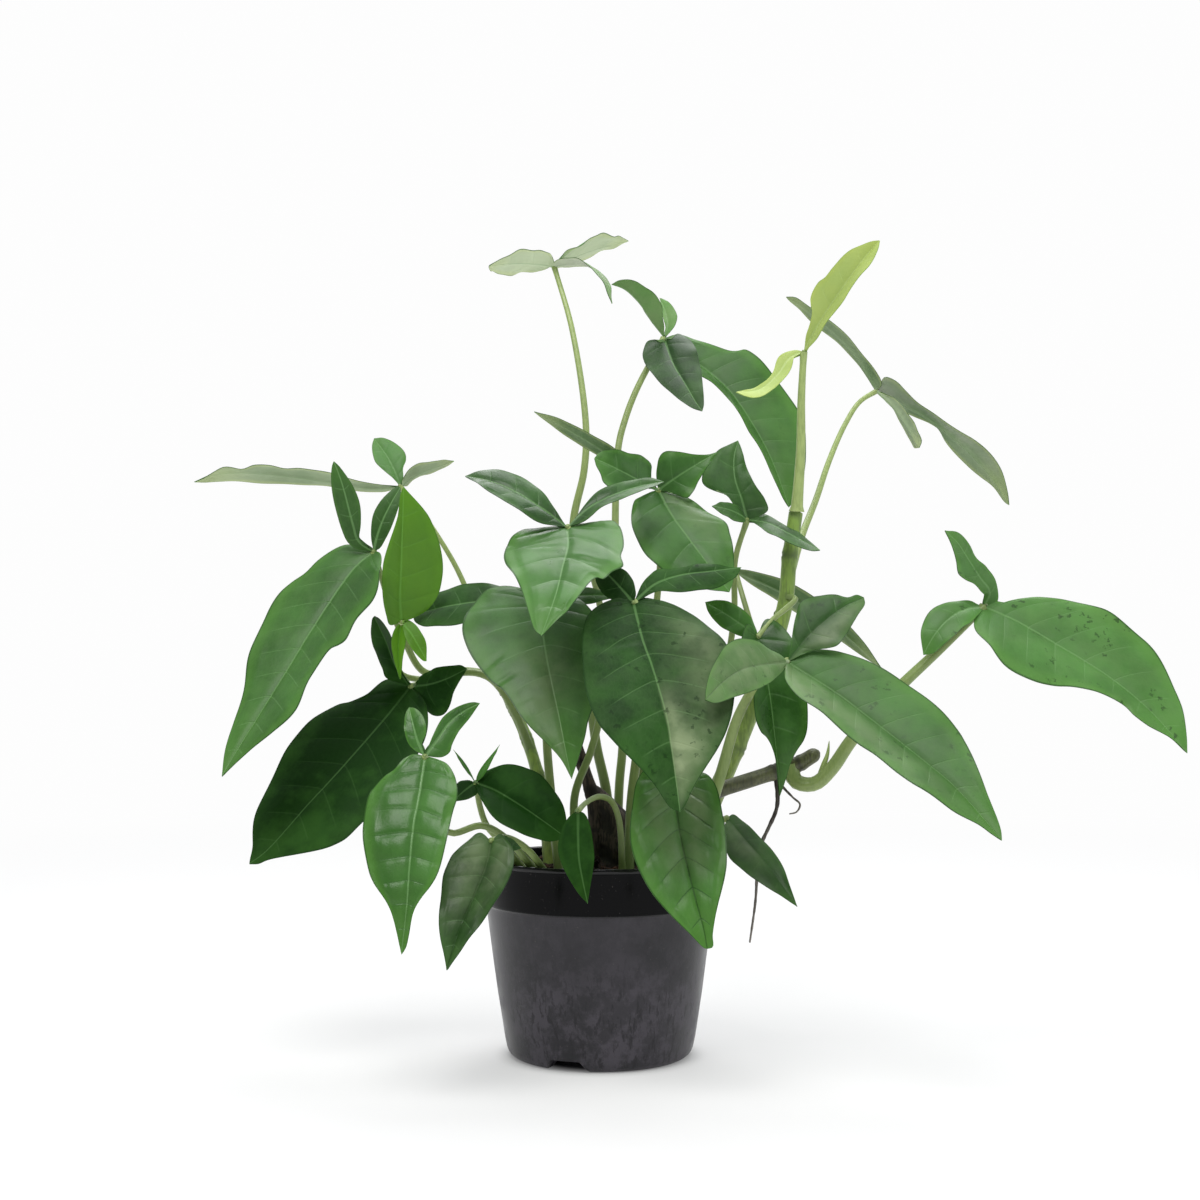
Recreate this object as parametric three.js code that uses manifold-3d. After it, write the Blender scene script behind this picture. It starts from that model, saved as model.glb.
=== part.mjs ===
// Arrowhead plant in a round nursery pot: a crown of petioles and short vines that carry
// leaves of several leaflets, potting soil and a thin-walled pot.
// Millimetres, +Z up. The pot's axis is Z, its foot stands on z = 0 and -Y is the front.
import * as THREE from "three";
import { ParametricGeometry } from "three/addons/geometries/ParametricGeometry.js";
import { mergeVertices } from "three/addons/utils/BufferGeometryUtils.js";
import Module from "manifold-3d";

const wasm = await Module();
wasm.setup();

// Driving dimensions.
const GAP = 0.3; // clearance between pieces that touch
const POT = {
  height: 107,
  footRadius: 51,
  collarStep: 82, // height at which the wall steps out into the collar
  bodyTopRadius: 62.4,
  collarRadius: 63.6,
  rimRadius: 66.2,
  wall: 1.2,
  floorLift: 5, // the drain channel's height above the foot
  padRadius: 28, // the flat pad that the pot stands on
  footCurve: 5, // how far the wall curls under to the foot ring
  notches: 3,
  firstNotch: -21, // degrees from straight ahead
  notchHeight: 5.5,
  notchFoot: 27,
  notchTop: 16,
  drainRadius: 4,
  drainCircle: 38,
};
const SOIL = { edge: 99, crown: 103 };
const BLADE_THICKNESS = 1.4;
const KNOB_RADIUS = 2.2; // the pulvinus where a leaf's midribs meet its petiole
const TURN_STEPS = 40;

const COLOURS = {
  mature: 0x3f7a3c,
  fresh: 0x5aa02c,
  young: 0x9cc45a,
  petiole: 0x8fae5c,
  vine: 0x86a24c,
  oldWood: 0x5a5a3c,
  darkWood: 0x3c3430,
  root: 0x4a382c,
  soil: 0x33221c,
  pot: 0x2a2a2c,
};

// Leaves, numbered from the top. A route runs up the petiole to the point where the leaflets
// meet, with the petiole's radius at both ends. Each leaflet has its tip, its half-widths on
// the right and on the left of the midrib seen along it from above, the way its upper face
// looks, how far the midrib arches towards that face and bows to the right, the fold of the
// two halves in degrees, where along it it is widest, how far its base lobes reach back and how
// drawn out its tip is.
const leaves = [
  {
    leaf: "01",
    tone: "mature",
    on: "soil",
    radii: [3.4, 1.6],
    route: [[3, 14, 92], [4, 15, 137], [-2, 15, 167], [-6, 14, 198], [-14, 14, 260],
      [-15, 14, 293], [-9, 15, 322], [-8, 18, 348], [-16, 30, 405], [-27, 42, 446]],
    leaflets: [
      { tip: [17, 70, 468], half: [18, 16], face: [-0.1, 0.1, 0.98], arch: 2 },
      { tip: [-63, 14, 439], half: [15, 15], face: [0, 0.3, 0.95], arch: 2, belly: 0.5 },
      { tip: [7, 0, 414], half: [7, 7], face: [0.5, -0.2, 0.8], arch: 11 },
    ],
  },
  {
    leaf: "02",
    tone: "mature",
    on: "soil",
    radii: [3, 2],
    route: [[9, 24, 91], [11, 30, 144], [13, 34, 169], [10, 48, 227], [9, 62, 287],
      [11, 72, 343], [15, 76, 360], [22, 80, 379], [39, 86, 412]],
    leaflets: [
      {
        tip: [111, 52, 305], half: [22, 31], face: [0.66, -0.57, 0.48],
        arch: 6, bow: -12, fold: 22, belly: 0.55,
      },
      {
        tip: [59, 34, 359], half: [17, 15], face: [-0.1, -0.9, 0.4],
        arch: 6, fold: 12, belly: 0.3, lobe: 9,
      },
      { tip: [7, 74, 442], half: [7, 7], face: [0.25, -0.9, 0.4], arch: 2, fold: 12, belly: 0.5 },
      {
        tip: [37, 104, 441], half: [5, 7], face: [-0.3, -0.8, 0.3],
        arch: 2, bow: 5, fold: 10, belly: 0.5,
      },
    ],
  },
  {
    leaf: "03",
    tone: "young",
    on: "vine_right",
    radii: [3.5, 1.9],
    route: [[109, -2, 297], [111, -6, 331], [111, -10, 358], [112, -14, 384]],
    leaflets: [
      {
        tip: [149, -44, 438], half: [13, 15], face: [-0.67, -0.57, 0.47],
        arch: 3, fold: 28, belly: 0.56,
      },
      { tip: [73, -36, 358], half: [7, 7], face: [-0.4, -0.6, 0.7], arch: -4, fold: 20, belly: 0.5 },
    ],
  },
  {
    leaf: "04",
    tone: "mature",
    on: "vine_right",
    radii: [2.8, 1.6],
    route: [[100, 4, 240], [108, 26, 261], [119, 56, 289], [130, 78, 312], [141, 96, 339],
      [152, 106, 362], [162, 110, 377], [173, 110, 384]],
    leaflets: [
      { tip: [251, 96, 311], half: [19, 20], face: [0.65, -0.12, 0.74], arch: 8, fold: 17, belly: 0.6 },
      { tip: [114, 88, 438], half: [8, 8], face: [0.55, 0.1, 0.8], arch: 5, fold: 10, belly: 0.5 },
      { tip: [192, 74, 343], half: [5, 5], face: [0.7, -0.5, 0.4], arch: 4, fold: 10, belly: 0.5 },
    ],
  },
  {
    leaf: "05",
    tone: "mature",
    on: "old_stem",
    radii: [4.6, 2.4],
    route: [[103, -16, 156], [106, -20, 149], [115, -24, 148], [124, -26, 156],
      [135, -28, 172], [159, -32, 199], [181, -34, 220], [205, -34, 243]],
    leaflets: [
      {
        tip: [297, -78, 167], half: [31, 24], face: [0.25, -0.8, 0.55],
        arch: 7, bow: -14, belly: 0.42, lobe: 3,
      },
      { tip: [183, -42, 283], half: [9, 8], face: [0.3, -0.8, 0.4], arch: 3, fold: 10, belly: 0.4 },
      { tip: [170, -46, 217], half: [11, 11], face: [-0.2, -0.8, 0.5], arch: 5, fold: 10, belly: 0.45 },
    ],
  },
  {
    leaf: "06",
    tone: "mature",
    on: "soil",
    radii: [2.6, 1.8],
    route: [[-9, -22, 96], [-14, -14, 139], [-5, -8, 165], [0, -6, 185], [2, -10, 226],
      [-4, -30, 260], [-17, -62, 283]],
    leaflets: [
      {
        tip: [-28, -126, 225], half: [29, 29], face: [-0.05, -0.75, 0.66],
        arch: 9, fold: 6, belly: 0.25, lobe: 9, point: 1.2,
      },
      { tip: [-71, -50, 311], half: [9, 10], face: [-0.1, -0.6, 0.8], arch: 8, fold: 10, belly: 0.42 },
      { tip: [34, -42, 309], half: [8, 8], face: [-0.1, -0.7, 0.7], arch: 4, fold: 10, belly: 0.42 },
    ],
  },
  {
    leaf: "07",
    tone: "mature",
    on: "soil",
    radii: [3, 2],
    route: [[-21, -30, 97], [-26, -24, 139], [-29, -18, 177], [-28, -12, 204], [-27, -14, 226],
      [-30, -40, 246]],
    leaflets: [
      {
        tip: [-14, -98, 155], half: [41, 25], face: [-0.2, -0.85, 0.45],
        arch: 12, fold: 10, belly: 0.22, lobe: 12, point: 1.15,
      },
      { tip: [-102, -16, 239], half: [14, 15], face: [-0.1, -0.75, 0.6], arch: 5, belly: 0.62 },
      { tip: [9, -46, 248], half: [7, 6], face: [0, -0.8, 0.6], arch: 2, belly: 0.4 },
    ],
  },
  {
    leaf: "08",
    tone: "mature",
    on: "soil",
    radii: [3.2, 2.2],
    route: [[15, -26, 97], [17, -20, 139], [22, -14, 177], [26, -16, 209], [24, -40, 230],
      [17, -78, 243]],
    leaflets: [
      {
        tip: [37, -150, 143], half: [33, 38], face: [0.05, -0.8, 0.6],
        arch: 11, fold: 7, belly: 0.38, lobe: 9,
      },
      { tip: [-1, -62, 263], half: [8, 9], face: [-0.2, -0.8, 0.4], arch: 3, fold: 10, belly: 0.45 },
      { tip: [73, -64, 262], half: [13, 14], face: [0.1, -0.75, 0.65], arch: 3, fold: 10, belly: 0.5 },
    ],
  },
  {
    leaf: "09",
    tone: "mature",
    on: "soil",
    radii: [2.8, 1.8],
    route: [[22, 8, 93], [22, 12, 148], [28, 14, 193], [31, 14, 237], [34, 8, 276],
      [32, -12, 308]],
    leaflets: [
      { tip: [68, -50, 250], half: [28, 24], face: [0.1, -0.85, 0.5], arch: 6, fold: 12, lobe: 5 },
      { tip: [-3, -24, 324], half: [12, 12], face: [-0.1, -0.8, 0.55], arch: 4, fold: 10, belly: 0.5 },
      {
        tip: [64, -18, 328], half: [17, 13], face: [0.1, -0.9, 0.3],
        arch: 3, fold: 6, belly: 0.4, lobe: 4,
      },
      { tip: [-36, -14, 351], half: [7, 6], face: [-0.1, -0.6, 0.75], arch: 3, fold: 10, belly: 0.5 },
    ],
  },
  {
    leaf: "10",
    tone: "mature",
    on: "soil",
    radii: [2.6, 1.7],
    route: [[38, 24, 91], [51, 30, 141], [68, 34, 192], [76, 24, 238], [76, 12, 271],
      [82, 3, 293]],
    leaflets: [
      {
        tip: [78, 14, 339], half: [16, 12], face: [-0.1, -0.9, 0.35],
        arch: 3, bow: -9, fold: 10, belly: 0.28, lobe: 5,
      },
      { tip: [119, -24, 274], half: [6, 6], face: [0.1, -0.6, 0.8], arch: 3, fold: 10, belly: 0.45 },
      { tip: [62, -4, 300], half: [6, 7], face: [-0.1, -0.7, 0.6], arch: 2, belly: 0.45 },
    ],
  },
  {
    leaf: "11",
    tone: "mature",
    on: "soil",
    radii: [4.2, 2.2],
    route: [[45, -30, 97], [59, -32, 137], [65, -32, 156], [72, -36, 181], [77, -42, 193],
      [84, -60, 206], [95, -80, 213]],
    leaflets: [
      {
        tip: [188, -140, 129], half: [30, 26], face: [0.3, -0.7, 0.65],
        arch: 8, bow: -12, belly: 0.42, lobe: 4,
      },
      {
        tip: [52, -100, 194], half: [16, 18], face: [-0.15, -0.85, 0.5],
        arch: 5, bow: 8, belly: 0.45, lobe: 3,
      },
      {
        tip: [135, -72, 246], half: [14, 14], face: [0.1, -0.8, 0.55],
        arch: 4, bow: -4, belly: 0.45, lobe: 3,
      },
    ],
  },
  {
    leaf: "12",
    tone: "mature",
    on: "vine_left",
    radii: [2.6, 1.7],
    route: [[-54, 22, 197], [-63, 32, 206], [-76, 35, 209], [-100, 32, 208], [-111, 24, 226],
      [-118, 8, 248], [-124, -12, 274]],
    leaflets: [
      {
        tip: [-192, -74, 155], half: [22, 32], face: [-0.35, -0.7, 0.6],
        arch: 7, bow: 9, fold: 10, belly: 0.4, lobe: 5,
      },
      {
        tip: [-144, -26, 322], half: [9, 8], face: [-0.2, -0.85, 0.45],
        arch: 3, bow: 3, fold: 10, belly: 0.4,
      },
      { tip: [-110, -8, 310], half: [8, 8], face: [0.1, -0.85, 0.4], arch: 2, bow: 4, belly: 0.45 },
    ],
  },
  {
    leaf: "13",
    tone: "mature",
    on: "vine_left",
    radii: [2.2, 1.4],
    route: [[-46, 18, 181], [-53, 36, 199], [-70, 48, 237], [-83, 54, 267], [-94, 56, 286],
      [-107, 57, 305], [-118, 56, 318]],
    leaflets: [
      { tip: [-232, 26, 317], half: [16, 16], face: [0, -0.42, 0.9], arch: 4, fold: 10, belly: 0.62 },
      {
        tip: [-135, 68, 348], half: [9, 9], face: [0.1, -0.9, 0.3],
        arch: 2, bow: 3, fold: 10, belly: 0.5,
      },
      { tip: [-87, 64, 334], half: [7, 7], face: [-0.3, -0.45, 0.85], arch: 2, fold: 10, belly: 0.5 },
    ],
  },
  {
    leaf: "14",
    tone: "fresh",
    on: "vine_left",
    radii: [2.4, 1.6],
    route: [[-48, 18, 185], [-55, 12, 198], [-64, 16, 206], [-75, 20, 208], [-99, 22, 204],
      [-112, 18, 207], [-112, 4, 220], [-107, -24, 235]],
    leaflets: [
      {
        tip: [-104, -44, 306], half: [17, 15], face: [0.1, -0.95, 0.2],
        arch: 5, bow: 4, fold: 10, belly: 0.42,
      },
      { tip: [-93, -28, 214], half: [5, 5], face: [0.2, -0.9, 0.3], arch: 1, fold: 10, belly: 0.5 },
    ],
  },
  {
    leaf: "15",
    tone: "mature",
    on: "vine_left",
    radii: [2.6, 1.8],
    route: [[-39, 14, 165], [-47, 5, 185], [-60, 4, 204], [-74, 8, 208], [-89, 10, 204],
      [-106, 8, 200]],
    leaflets: [
      {
        tip: [-183, -48, 108], half: [26, 37], face: [-0.2, -0.75, 0.6],
        arch: 7, belly: 0.46, lobe: 5,
      },
      { tip: [-122, -24, 238], half: [7, 7], face: [-0.6, -0.75, 0.2], arch: 2, belly: 0.4 },
      { tip: [-73, -6, 210], half: [12, 8], face: [0.1, -0.85, 0.5], arch: 3, bow: 4, belly: 0.45 },
    ],
  },
  {
    leaf: "16",
    tone: "mature",
    on: "soil",
    radii: [2.2, 1.6],
    route: [[-34, -44, 104], [-49, -54, 122], [-61, -62, 129], [-76, -70, 126],
      [-85, -76, 136], [-88, -84, 154], [-87, -92, 166]],
    leaflets: [
      {
        tip: [-94, -128, 74], half: [25, 21], face: [-0.15, -0.93, 0.3],
        arch: 8, bow: -3, belly: 0.34, lobe: 5, point: 1.35,
      },
      { tip: [-96, -84, 190], half: [6, 6], face: [-0.1, -0.9, 0.3], arch: 2, fold: 10, belly: 0.5 },
      { tip: [-61, -74, 192], half: [7, 7], face: [0.3, -0.9, 0.3], arch: 3, fold: 10, belly: 0.4 },
    ],
  },
  {
    leaf: "17",
    tone: "mature",
    on: "soil",
    radii: [2.2, 1.6],
    route: [[-27, -46, 101], [-37, -58, 116], [-47, -74, 124], [-54, -92, 124]],
    leaflets: [
      {
        tip: [-73, -124, 66], half: [17, 17], face: [-0.25, -0.9, 0.35],
        arch: 5, fold: 15, lobe: 4, point: 1.1,
      },
      { tip: [-39, -88, 120], half: [4, 4], face: [0.2, -0.9, 0.3], arch: 1, belly: 0.4 },
    ],
  },
  {
    leaf: "18",
    tone: "mature",
    on: "soil",
    radii: [2.2, 1.6],
    route: [[-39, -36, 102], [-52, -44, 119], [-59, -50, 128], [-62, -54, 137],
      [-64, -62, 151]],
    leaflets: [
      { tip: [-17, -76, 124], half: [14, 18], face: [0.2, -0.85, 0.5], arch: 4, lobe: 4 },
      { tip: [-76, -58, 168], half: [3, 3], face: [-0.1, -0.8, 0.5], arch: 1, belly: 0.4 },
      { tip: [-51, -70, 171], half: [3, 3], face: [0.2, -0.8, 0.4], arch: 1, belly: 0.4 },
      { tip: [-75, -70, 142], half: [6, 6], face: [-0.2, -0.9, 0.4], arch: 1, belly: 0.4 },
    ],
  },
  {
    leaf: "19",
    tone: "mature",
    on: "soil",
    radii: [2, 1.5],
    route: [[12, -36, 98], [10, -38, 130], [6, -42, 140], [0, -50, 143], [-7, -66, 141],
      [-11, -82, 138]],
    leaflets: [
      { tip: [-6, -106, 95], half: [10, 10], face: [0, -0.97, 0.2], arch: 3, fold: 10, belly: 0.4 },
    ],
  },
  {
    leaf: "20",
    tone: "mature",
    on: "soil",
    radii: [2.6, 1.8],
    route: [[26, -40, 99], [32, -48, 121], [35, -62, 139], [36, -86, 154]],
    leaflets: [
      {
        tip: [51, -124, 76], half: [26, 24], face: [0.05, -0.93, 0.35],
        arch: 7, belly: 0.4, lobe: 6, point: 1.1,
      },
    ],
  },
  {
    leaf: "21",
    tone: "mature",
    on: "soil",
    radii: [2.4, 1.6],
    route: [[49, -6, 97], [57, -12, 118], [62, -18, 126], [68, -28, 130]],
    leaflets: [
      { tip: [101, -64, 88], half: [12, 9], face: [0.2, -0.9, 0.4], arch: 4, belly: 0.4, lobe: 3 },
    ],
  },
  {
    leaf: "22",
    tone: "mature",
    on: "vine_right",
    radii: [2, 1.4],
    route: [[102, 0, 250], [107, -10, 248], [103, -14, 244], [93, -20, 236], [85, -24, 227]],
    leaflets: [
      {
        tip: [93, -34, 140], half: [13, 19], face: [0.05, -0.9, 0.4],
        arch: 6, bow: -4, fold: 14, belly: 0.34, lobe: 8, point: 1.15,
      },
      { tip: [57, -20, 246], half: [8, 8], face: [-0.1, -0.85, 0.5], arch: 2, belly: 0.5 },
    ],
  },
  {
    leaf: "23",
    tone: "mature",
    on: "vine_right",
    radii: [2.2, 1.6],
    route: [[93, 2, 209], [90, 24, 220], [88, 40, 233], [83, 54, 255], [80, 64, 269]],
    leaflets: [
      { tip: [163, 44, 211], half: [12, 12], face: [0.3, 0.35, 0.9], arch: 7, belly: 0.45 },
    ],
  },
];

// Stems that carry petioles, and what hangs from them.
const stems = [
  {
    name: "vine_right",
    radii: [5.6, 3.9],
    route: [[50, 2, 94], [59, 2, 129], [71, 0, 157], [82, 0, 183], [92, 0, 208], [98, 0, 228],
      [103, 0, 248], [105, 0, 270], [109, 0, 298]],
    colour: "vine",
  },
  {
    name: "vine_left",
    radii: [4, 3],
    route: [[-27, 8, 93], [-30, 10, 126], [-34, 12, 148], [-42, 16, 173], [-54, 22, 198]],
    colour: "vine",
  },
  {
    name: "old_stem",
    radii: [4.4, 3.8],
    route: [[24, -9, 94], [31, -12, 127], [43, -16, 139], [63, -16, 144], [95, -16, 154],
      [107, -16, 158], [119, -16, 165]],
    colour: "oldWood",
  },
  {
    name: "dark_stem",
    radii: [4, 3.2],
    route: [[-2, 0, 94], [-4, 0, 138], [-9, 0, 155], [-14, 0, 171]],
    colour: "darkWood",
  },
];
const roots = [
  {
    name: "aerial_root_long",
    on: "old_stem",
    radii: [1.2, 0.6],
    route: [[95, -16, 153], [96, -18, 139], [95, -18, 133], [91, -18, 124], [87, -18, 115],
      [85, -16, 100], [84, -16, 85], [81, -14, 62]],
  },
  {
    name: "aerial_root_short",
    on: "old_stem",
    radii: [1, 0.6],
    route: [[97, -14, 154], [98, -9, 148], [105, -9, 140], [109, -10, 136], [107, -11, 132],
      [103, -12, 131]],
  },
];

// A closed geometry as a solid, with coincident vertices joined and collapsed faces dropped.
function solid(geometry) {
  const bare = geometry.index ? geometry.toNonIndexed() : geometry.clone();
  bare.deleteAttribute("normal");
  bare.deleteAttribute("uv");
  const merged = mergeVertices(bare, 1e-4);
  const faces = [];
  for (let i = 0; i < merged.index.count; i += 3) {
    const corners = [0, 1, 2].map((k) => merged.index.getX(i + k));
    if (new Set(corners).size === 3) faces.push(...corners);
  }
  return new wasm.Manifold(
    new wasm.Mesh({
      numProp: 3,
      vertProperties: merged.attributes.position.array,
      triVerts: new Uint32Array(faces),
    }),
  );
}

// A solid as a named mesh with its own material.
function named(name, shape, colour, roughness = 0.6) {
  const { vertProperties, triVerts } = shape.getMesh();
  const geometry = new THREE.BufferGeometry()
    .setAttribute("position", new THREE.BufferAttribute(vertProperties, 3))
    .setIndex(new THREE.BufferAttribute(triVerts, 1));
  geometry.computeVertexNormals();
  const material = new THREE.MeshStandardMaterial({ color: colour, roughness, metalness: 0 });
  const mesh = new THREE.Mesh(geometry, material);
  mesh.name = name;
  return mesh;
}

// The largest body of a solid that a cut has left in pieces.
function largest(shape) {
  return shape.decompose().sort((a, b) => b.volume() - a.volume())[0];
}

// A tapered tube along a route, for a stem, petiole or root.
function tube({ route, radii: [low, high] }, sides, spare = 0) {
  const points = route.map((p) => new THREE.Vector3(...p));
  points[0].z -= spare;
  const curve = new THREE.CatmullRomCurve3(points, false, "centripetal");
  const steps = Math.min(12, 3 + Math.round(curve.getLength() / 22));
  const section = new THREE.Shape().absarc(0, 0, 1, 0, 2 * Math.PI);
  const geometry = new THREE.ExtrudeGeometry(section, {
    curveSegments: sides / 2,
    steps,
    bevelEnabled: false,
    extrudePath: curve,
  });
  const centres = curve.getSpacedPoints(steps);
  const { position } = geometry.attributes;
  const vertex = new THREE.Vector3();
  for (let i = 0; i < position.count; i++) {
    vertex.fromBufferAttribute(position, i);
    const gaps = centres.map((c) => c.distanceTo(vertex));
    const ring = gaps.indexOf(Math.min(...gaps));
    const radius = THREE.MathUtils.lerp(low, high, ring / steps) + spare;
    vertex.sub(centres[ring]).multiplyScalar(radius).add(centres[ring]);
    position.setXYZ(i, vertex.x, vertex.y, vertex.z);
  }
  return solid(geometry);
}

// One leaflet: a thin lens-shaped blade that sweeps along its arched midrib.
function blade(base, leaflet, spare) {
  const { tip, half, face, arch } = leaflet;
  const { bow = 0, fold = 8, belly = 0.36, lobe = 0, point = 1 } = leaflet;
  const end = new THREE.Vector3(...tip);
  const chord = end.clone().sub(base);
  const along = chord.clone().normalize();
  const up = new THREE.Vector3(...face);
  up.addScaledVector(along, -up.dot(along)).normalize();
  const right = along.clone().cross(up);
  const middle = base.clone().addScaledVector(chord, 0.5);
  middle.addScaledVector(up, 2 * arch).addScaledVector(right, 2 * bow);
  const midrib = new THREE.QuadraticBezierCurve3(base, middle, end);
  const lift = THREE.MathUtils.degToRad(fold);
  const broad = Math.max(...half) > 12;
  const columns = broad ? 4 : 2; // cells across each face
  const stacks = broad ? 9 : 7;

  const surface = (u, v, target) => {
    const t = 0.5 - 0.5 * Math.cos(Math.PI * v);
    const turn = Math.round(u * 2 * columns) / columns;
    const across = turn <= 1 ? 2 * turn - 1 : 3 - 2 * turn;
    const tangent = midrib.getTangent(Math.min(Math.max(t, 0.001), 0.999));
    const normal = up.clone().addScaledVector(tangent, -up.dot(tangent)).normalize();
    const side = tangent.clone().cross(normal);
    const rise = (t / belly) ** (1.6 * belly);
    const fall = ((1 - t) / (1 - belly)) ** (1.6 * (1 - belly) * point);
    const full = (across > 0 ? half[0] : half[1]) + spare;
    const out = full * rise * fall * Math.abs(across);
    const back = t < 0.3 ? lobe * Math.abs(across) * 4 * (t / 0.3) * (1 - t / 0.3) : 0;
    const edge = Math.abs(across);
    const thick = (turn <= 1 ? 0.5 : -0.5) * (BLADE_THICKNESS + 2 * spare) * (1 - edge ** 2);
    const closing = Math.min(1, 12 * t * (1 - t));
    const height = out * Math.sin(lift) - 0.12 * out * edge + thick * closing;
    midrib.getPoint(t, target);
    target.addScaledVector(side, Math.sign(across) * out * Math.cos(lift));
    target.addScaledVector(normal, height);
    target.addScaledVector(tangent, -back);
  };
  return solid(new ParametricGeometry(surface, 2 * columns, stacks));
}

// A whole leaf: its leaflets and the knob that joins them.
function leafShape({ route, leaflets }, spare = 0) {
  const base = new THREE.Vector3(...route.at(-1));
  const knob = new THREE.SphereGeometry(KNOB_RADIUS + spare, 8, 6);
  knob.translate(base.x, base.y, base.z);
  return leaflets.reduce((sum, leaflet) => sum.add(blade(base, leaflet, spare)), solid(knob));
}

// A profile of [radius, height] points turned about Z.
function turned(profile) {
  const points = profile.map(([radius, height]) => new THREE.Vector2(radius, height));
  const geometry = new THREE.LatheGeometry(points, TURN_STEPS);
  return solid(geometry.rotateX(Math.PI / 2));
}

// The pot: a standing pad, a raised drain channel, a tapered wall, a collar and a rolled rim.
function potShape() {
  const { height, footRadius, footCurve, collarStep, bodyTopRadius, rimRadius } = POT;
  const { collarRadius, wall } = POT;
  const lift = POT.floorLift;
  const inside = footRadius - 1.6;
  let pot = turned([
    [0, 0],
    [POT.padRadius, 0],
    [POT.padRadius + 3, lift],
    [footRadius - footCurve - 4, lift],
    [footRadius - footCurve - 3, 0],
    [footRadius - footCurve, 0],
    [footRadius - 0.44 * footCurve, 0.9],
    [footRadius - 0.6, 3],
    [footRadius + 0.45, 8],
    [bodyTopRadius, collarStep],
    [collarRadius, collarStep + 1],
    [collarRadius + 1.4, height - 3],
    [rimRadius, height - 2.4],
    [rimRadius, height - 0.6],
    [rimRadius - 0.6, height],
    [rimRadius - 2, height],
    [rimRadius - 2.5, height - 0.7],
    [collarRadius - wall, collarStep + 1.4],
    [bodyTopRadius - wall, collarStep],
    [inside, lift + wall + 0.3],
    [inside - 0.6, lift + wall],
    [POT.padRadius + 2, lift + wall],
    [POT.padRadius - 0.8, wall],
    [0, wall],
  ]);
  const notch = new THREE.Shape([
    new THREE.Vector2(-POT.notchFoot / 2, -1),
    new THREE.Vector2(POT.notchFoot / 2, -1),
    new THREE.Vector2(POT.notchTop / 2, POT.notchHeight),
    new THREE.Vector2(-POT.notchTop / 2, POT.notchHeight),
  ]);
  const pitch = (2 * Math.PI) / POT.notches;
  const first = THREE.MathUtils.degToRad(POT.firstNotch);
  for (let i = 0; i < POT.notches; i++) {
    const angle = first + i * pitch;
    const depth = footCurve + 8;
    const cutter = new THREE.ExtrudeGeometry(notch, { depth, bevelEnabled: false });
    cutter.rotateX(Math.PI / 2).translate(0, footCurve + 5 - footRadius, 0).rotateZ(angle);
    pot = pot.subtract(solid(cutter));
    const drain = new THREE.CylinderGeometry(POT.drainRadius, POT.drainRadius, 10, 12);
    drain.rotateX(Math.PI / 2).translate(0, -POT.drainCircle, lift);
    drain.rotateZ(angle + pitch / 2);
    pot = pot.subtract(solid(drain));
  }
  return pot;
}

// The soil fills the pot to just under the rim and heaps slightly towards the middle.
function soilShape() {
  const { footRadius, collarStep, bodyTopRadius, collarRadius, wall } = POT;
  const lift = POT.floorLift + wall + GAP;
  const clear = wall + GAP;
  const soil = turned([
    [0, wall + GAP],
    [POT.padRadius - 1, wall + GAP],
    [POT.padRadius + 1.8, lift],
    [footRadius - 1.6 - 2 * GAP, lift],
    [bodyTopRadius - clear - 0.1, collarStep],
    [collarRadius - clear, collarStep + 1.6],
    [collarRadius - clear + 1, SOIL.edge],
    [0.55 * footRadius, SOIL.crown - 1.2],
    [0, SOIL.crown],
  ]);
  const planted = [
    ...stems.map((stem) => tube(stem, 8, GAP)),
    ...leaves.filter((leaf) => leaf.on === "soil").map((leaf) => tube(leaf, 6, GAP)),
  ];
  return planted.reduce((rest, piece) => rest.subtract(piece), soil);
}

const part = new THREE.Group();
const carriers = new Map(stems.map((stem) => [stem.name, stem]));
part.add(named("nursery_pot", potShape(), COLOURS.pot, 0.5));
part.add(named("potting_soil", soilShape(), COLOURS.soil, 1));
for (const stem of stems) part.add(named(stem.name, tube(stem, 8), COLOURS[stem.colour], 0.7));
for (const root of roots) {
  const free = tube(root, 6).subtract(tube(carriers.get(root.on), 8, GAP));
  part.add(named(root.name, largest(free), COLOURS.root, 0.9));
}
for (const leaf of leaves) {
  let petiole = tube(leaf, 6).subtract(leafShape(leaf, GAP));
  if (carriers.has(leaf.on)) petiole = petiole.subtract(tube(carriers.get(leaf.on), 8, GAP));
  part.add(named(`petiole_${leaf.leaf}`, largest(petiole), COLOURS.petiole, 0.5));
  part.add(named(`leaf_${leaf.leaf}`, leafShape(leaf), COLOURS[leaf.tone], 0.4));
}

export default part;
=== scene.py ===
"""Arrowhead plant in a round nursery pot, finished on its measured frame: studio, pot, soil,
stems, leaf stalks and leaves. Metres, +Z up, pot axis on Z, front towards -Y."""

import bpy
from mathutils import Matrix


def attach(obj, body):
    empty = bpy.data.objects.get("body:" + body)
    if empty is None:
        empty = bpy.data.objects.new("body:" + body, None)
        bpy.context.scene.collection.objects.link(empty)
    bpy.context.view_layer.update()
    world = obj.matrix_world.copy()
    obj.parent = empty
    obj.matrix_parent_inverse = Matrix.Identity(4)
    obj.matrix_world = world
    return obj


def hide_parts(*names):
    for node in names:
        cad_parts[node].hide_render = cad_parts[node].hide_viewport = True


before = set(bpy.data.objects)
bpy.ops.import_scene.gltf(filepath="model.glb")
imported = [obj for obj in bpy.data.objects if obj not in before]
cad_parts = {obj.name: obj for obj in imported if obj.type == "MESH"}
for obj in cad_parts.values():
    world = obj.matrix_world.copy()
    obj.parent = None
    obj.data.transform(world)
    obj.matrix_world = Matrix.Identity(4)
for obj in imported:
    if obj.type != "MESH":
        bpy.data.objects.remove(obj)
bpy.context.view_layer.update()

import math

import bpy
import numpy as np

scene = bpy.context.scene
MM = 0.001  # the plant is measured in millimetres

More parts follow.
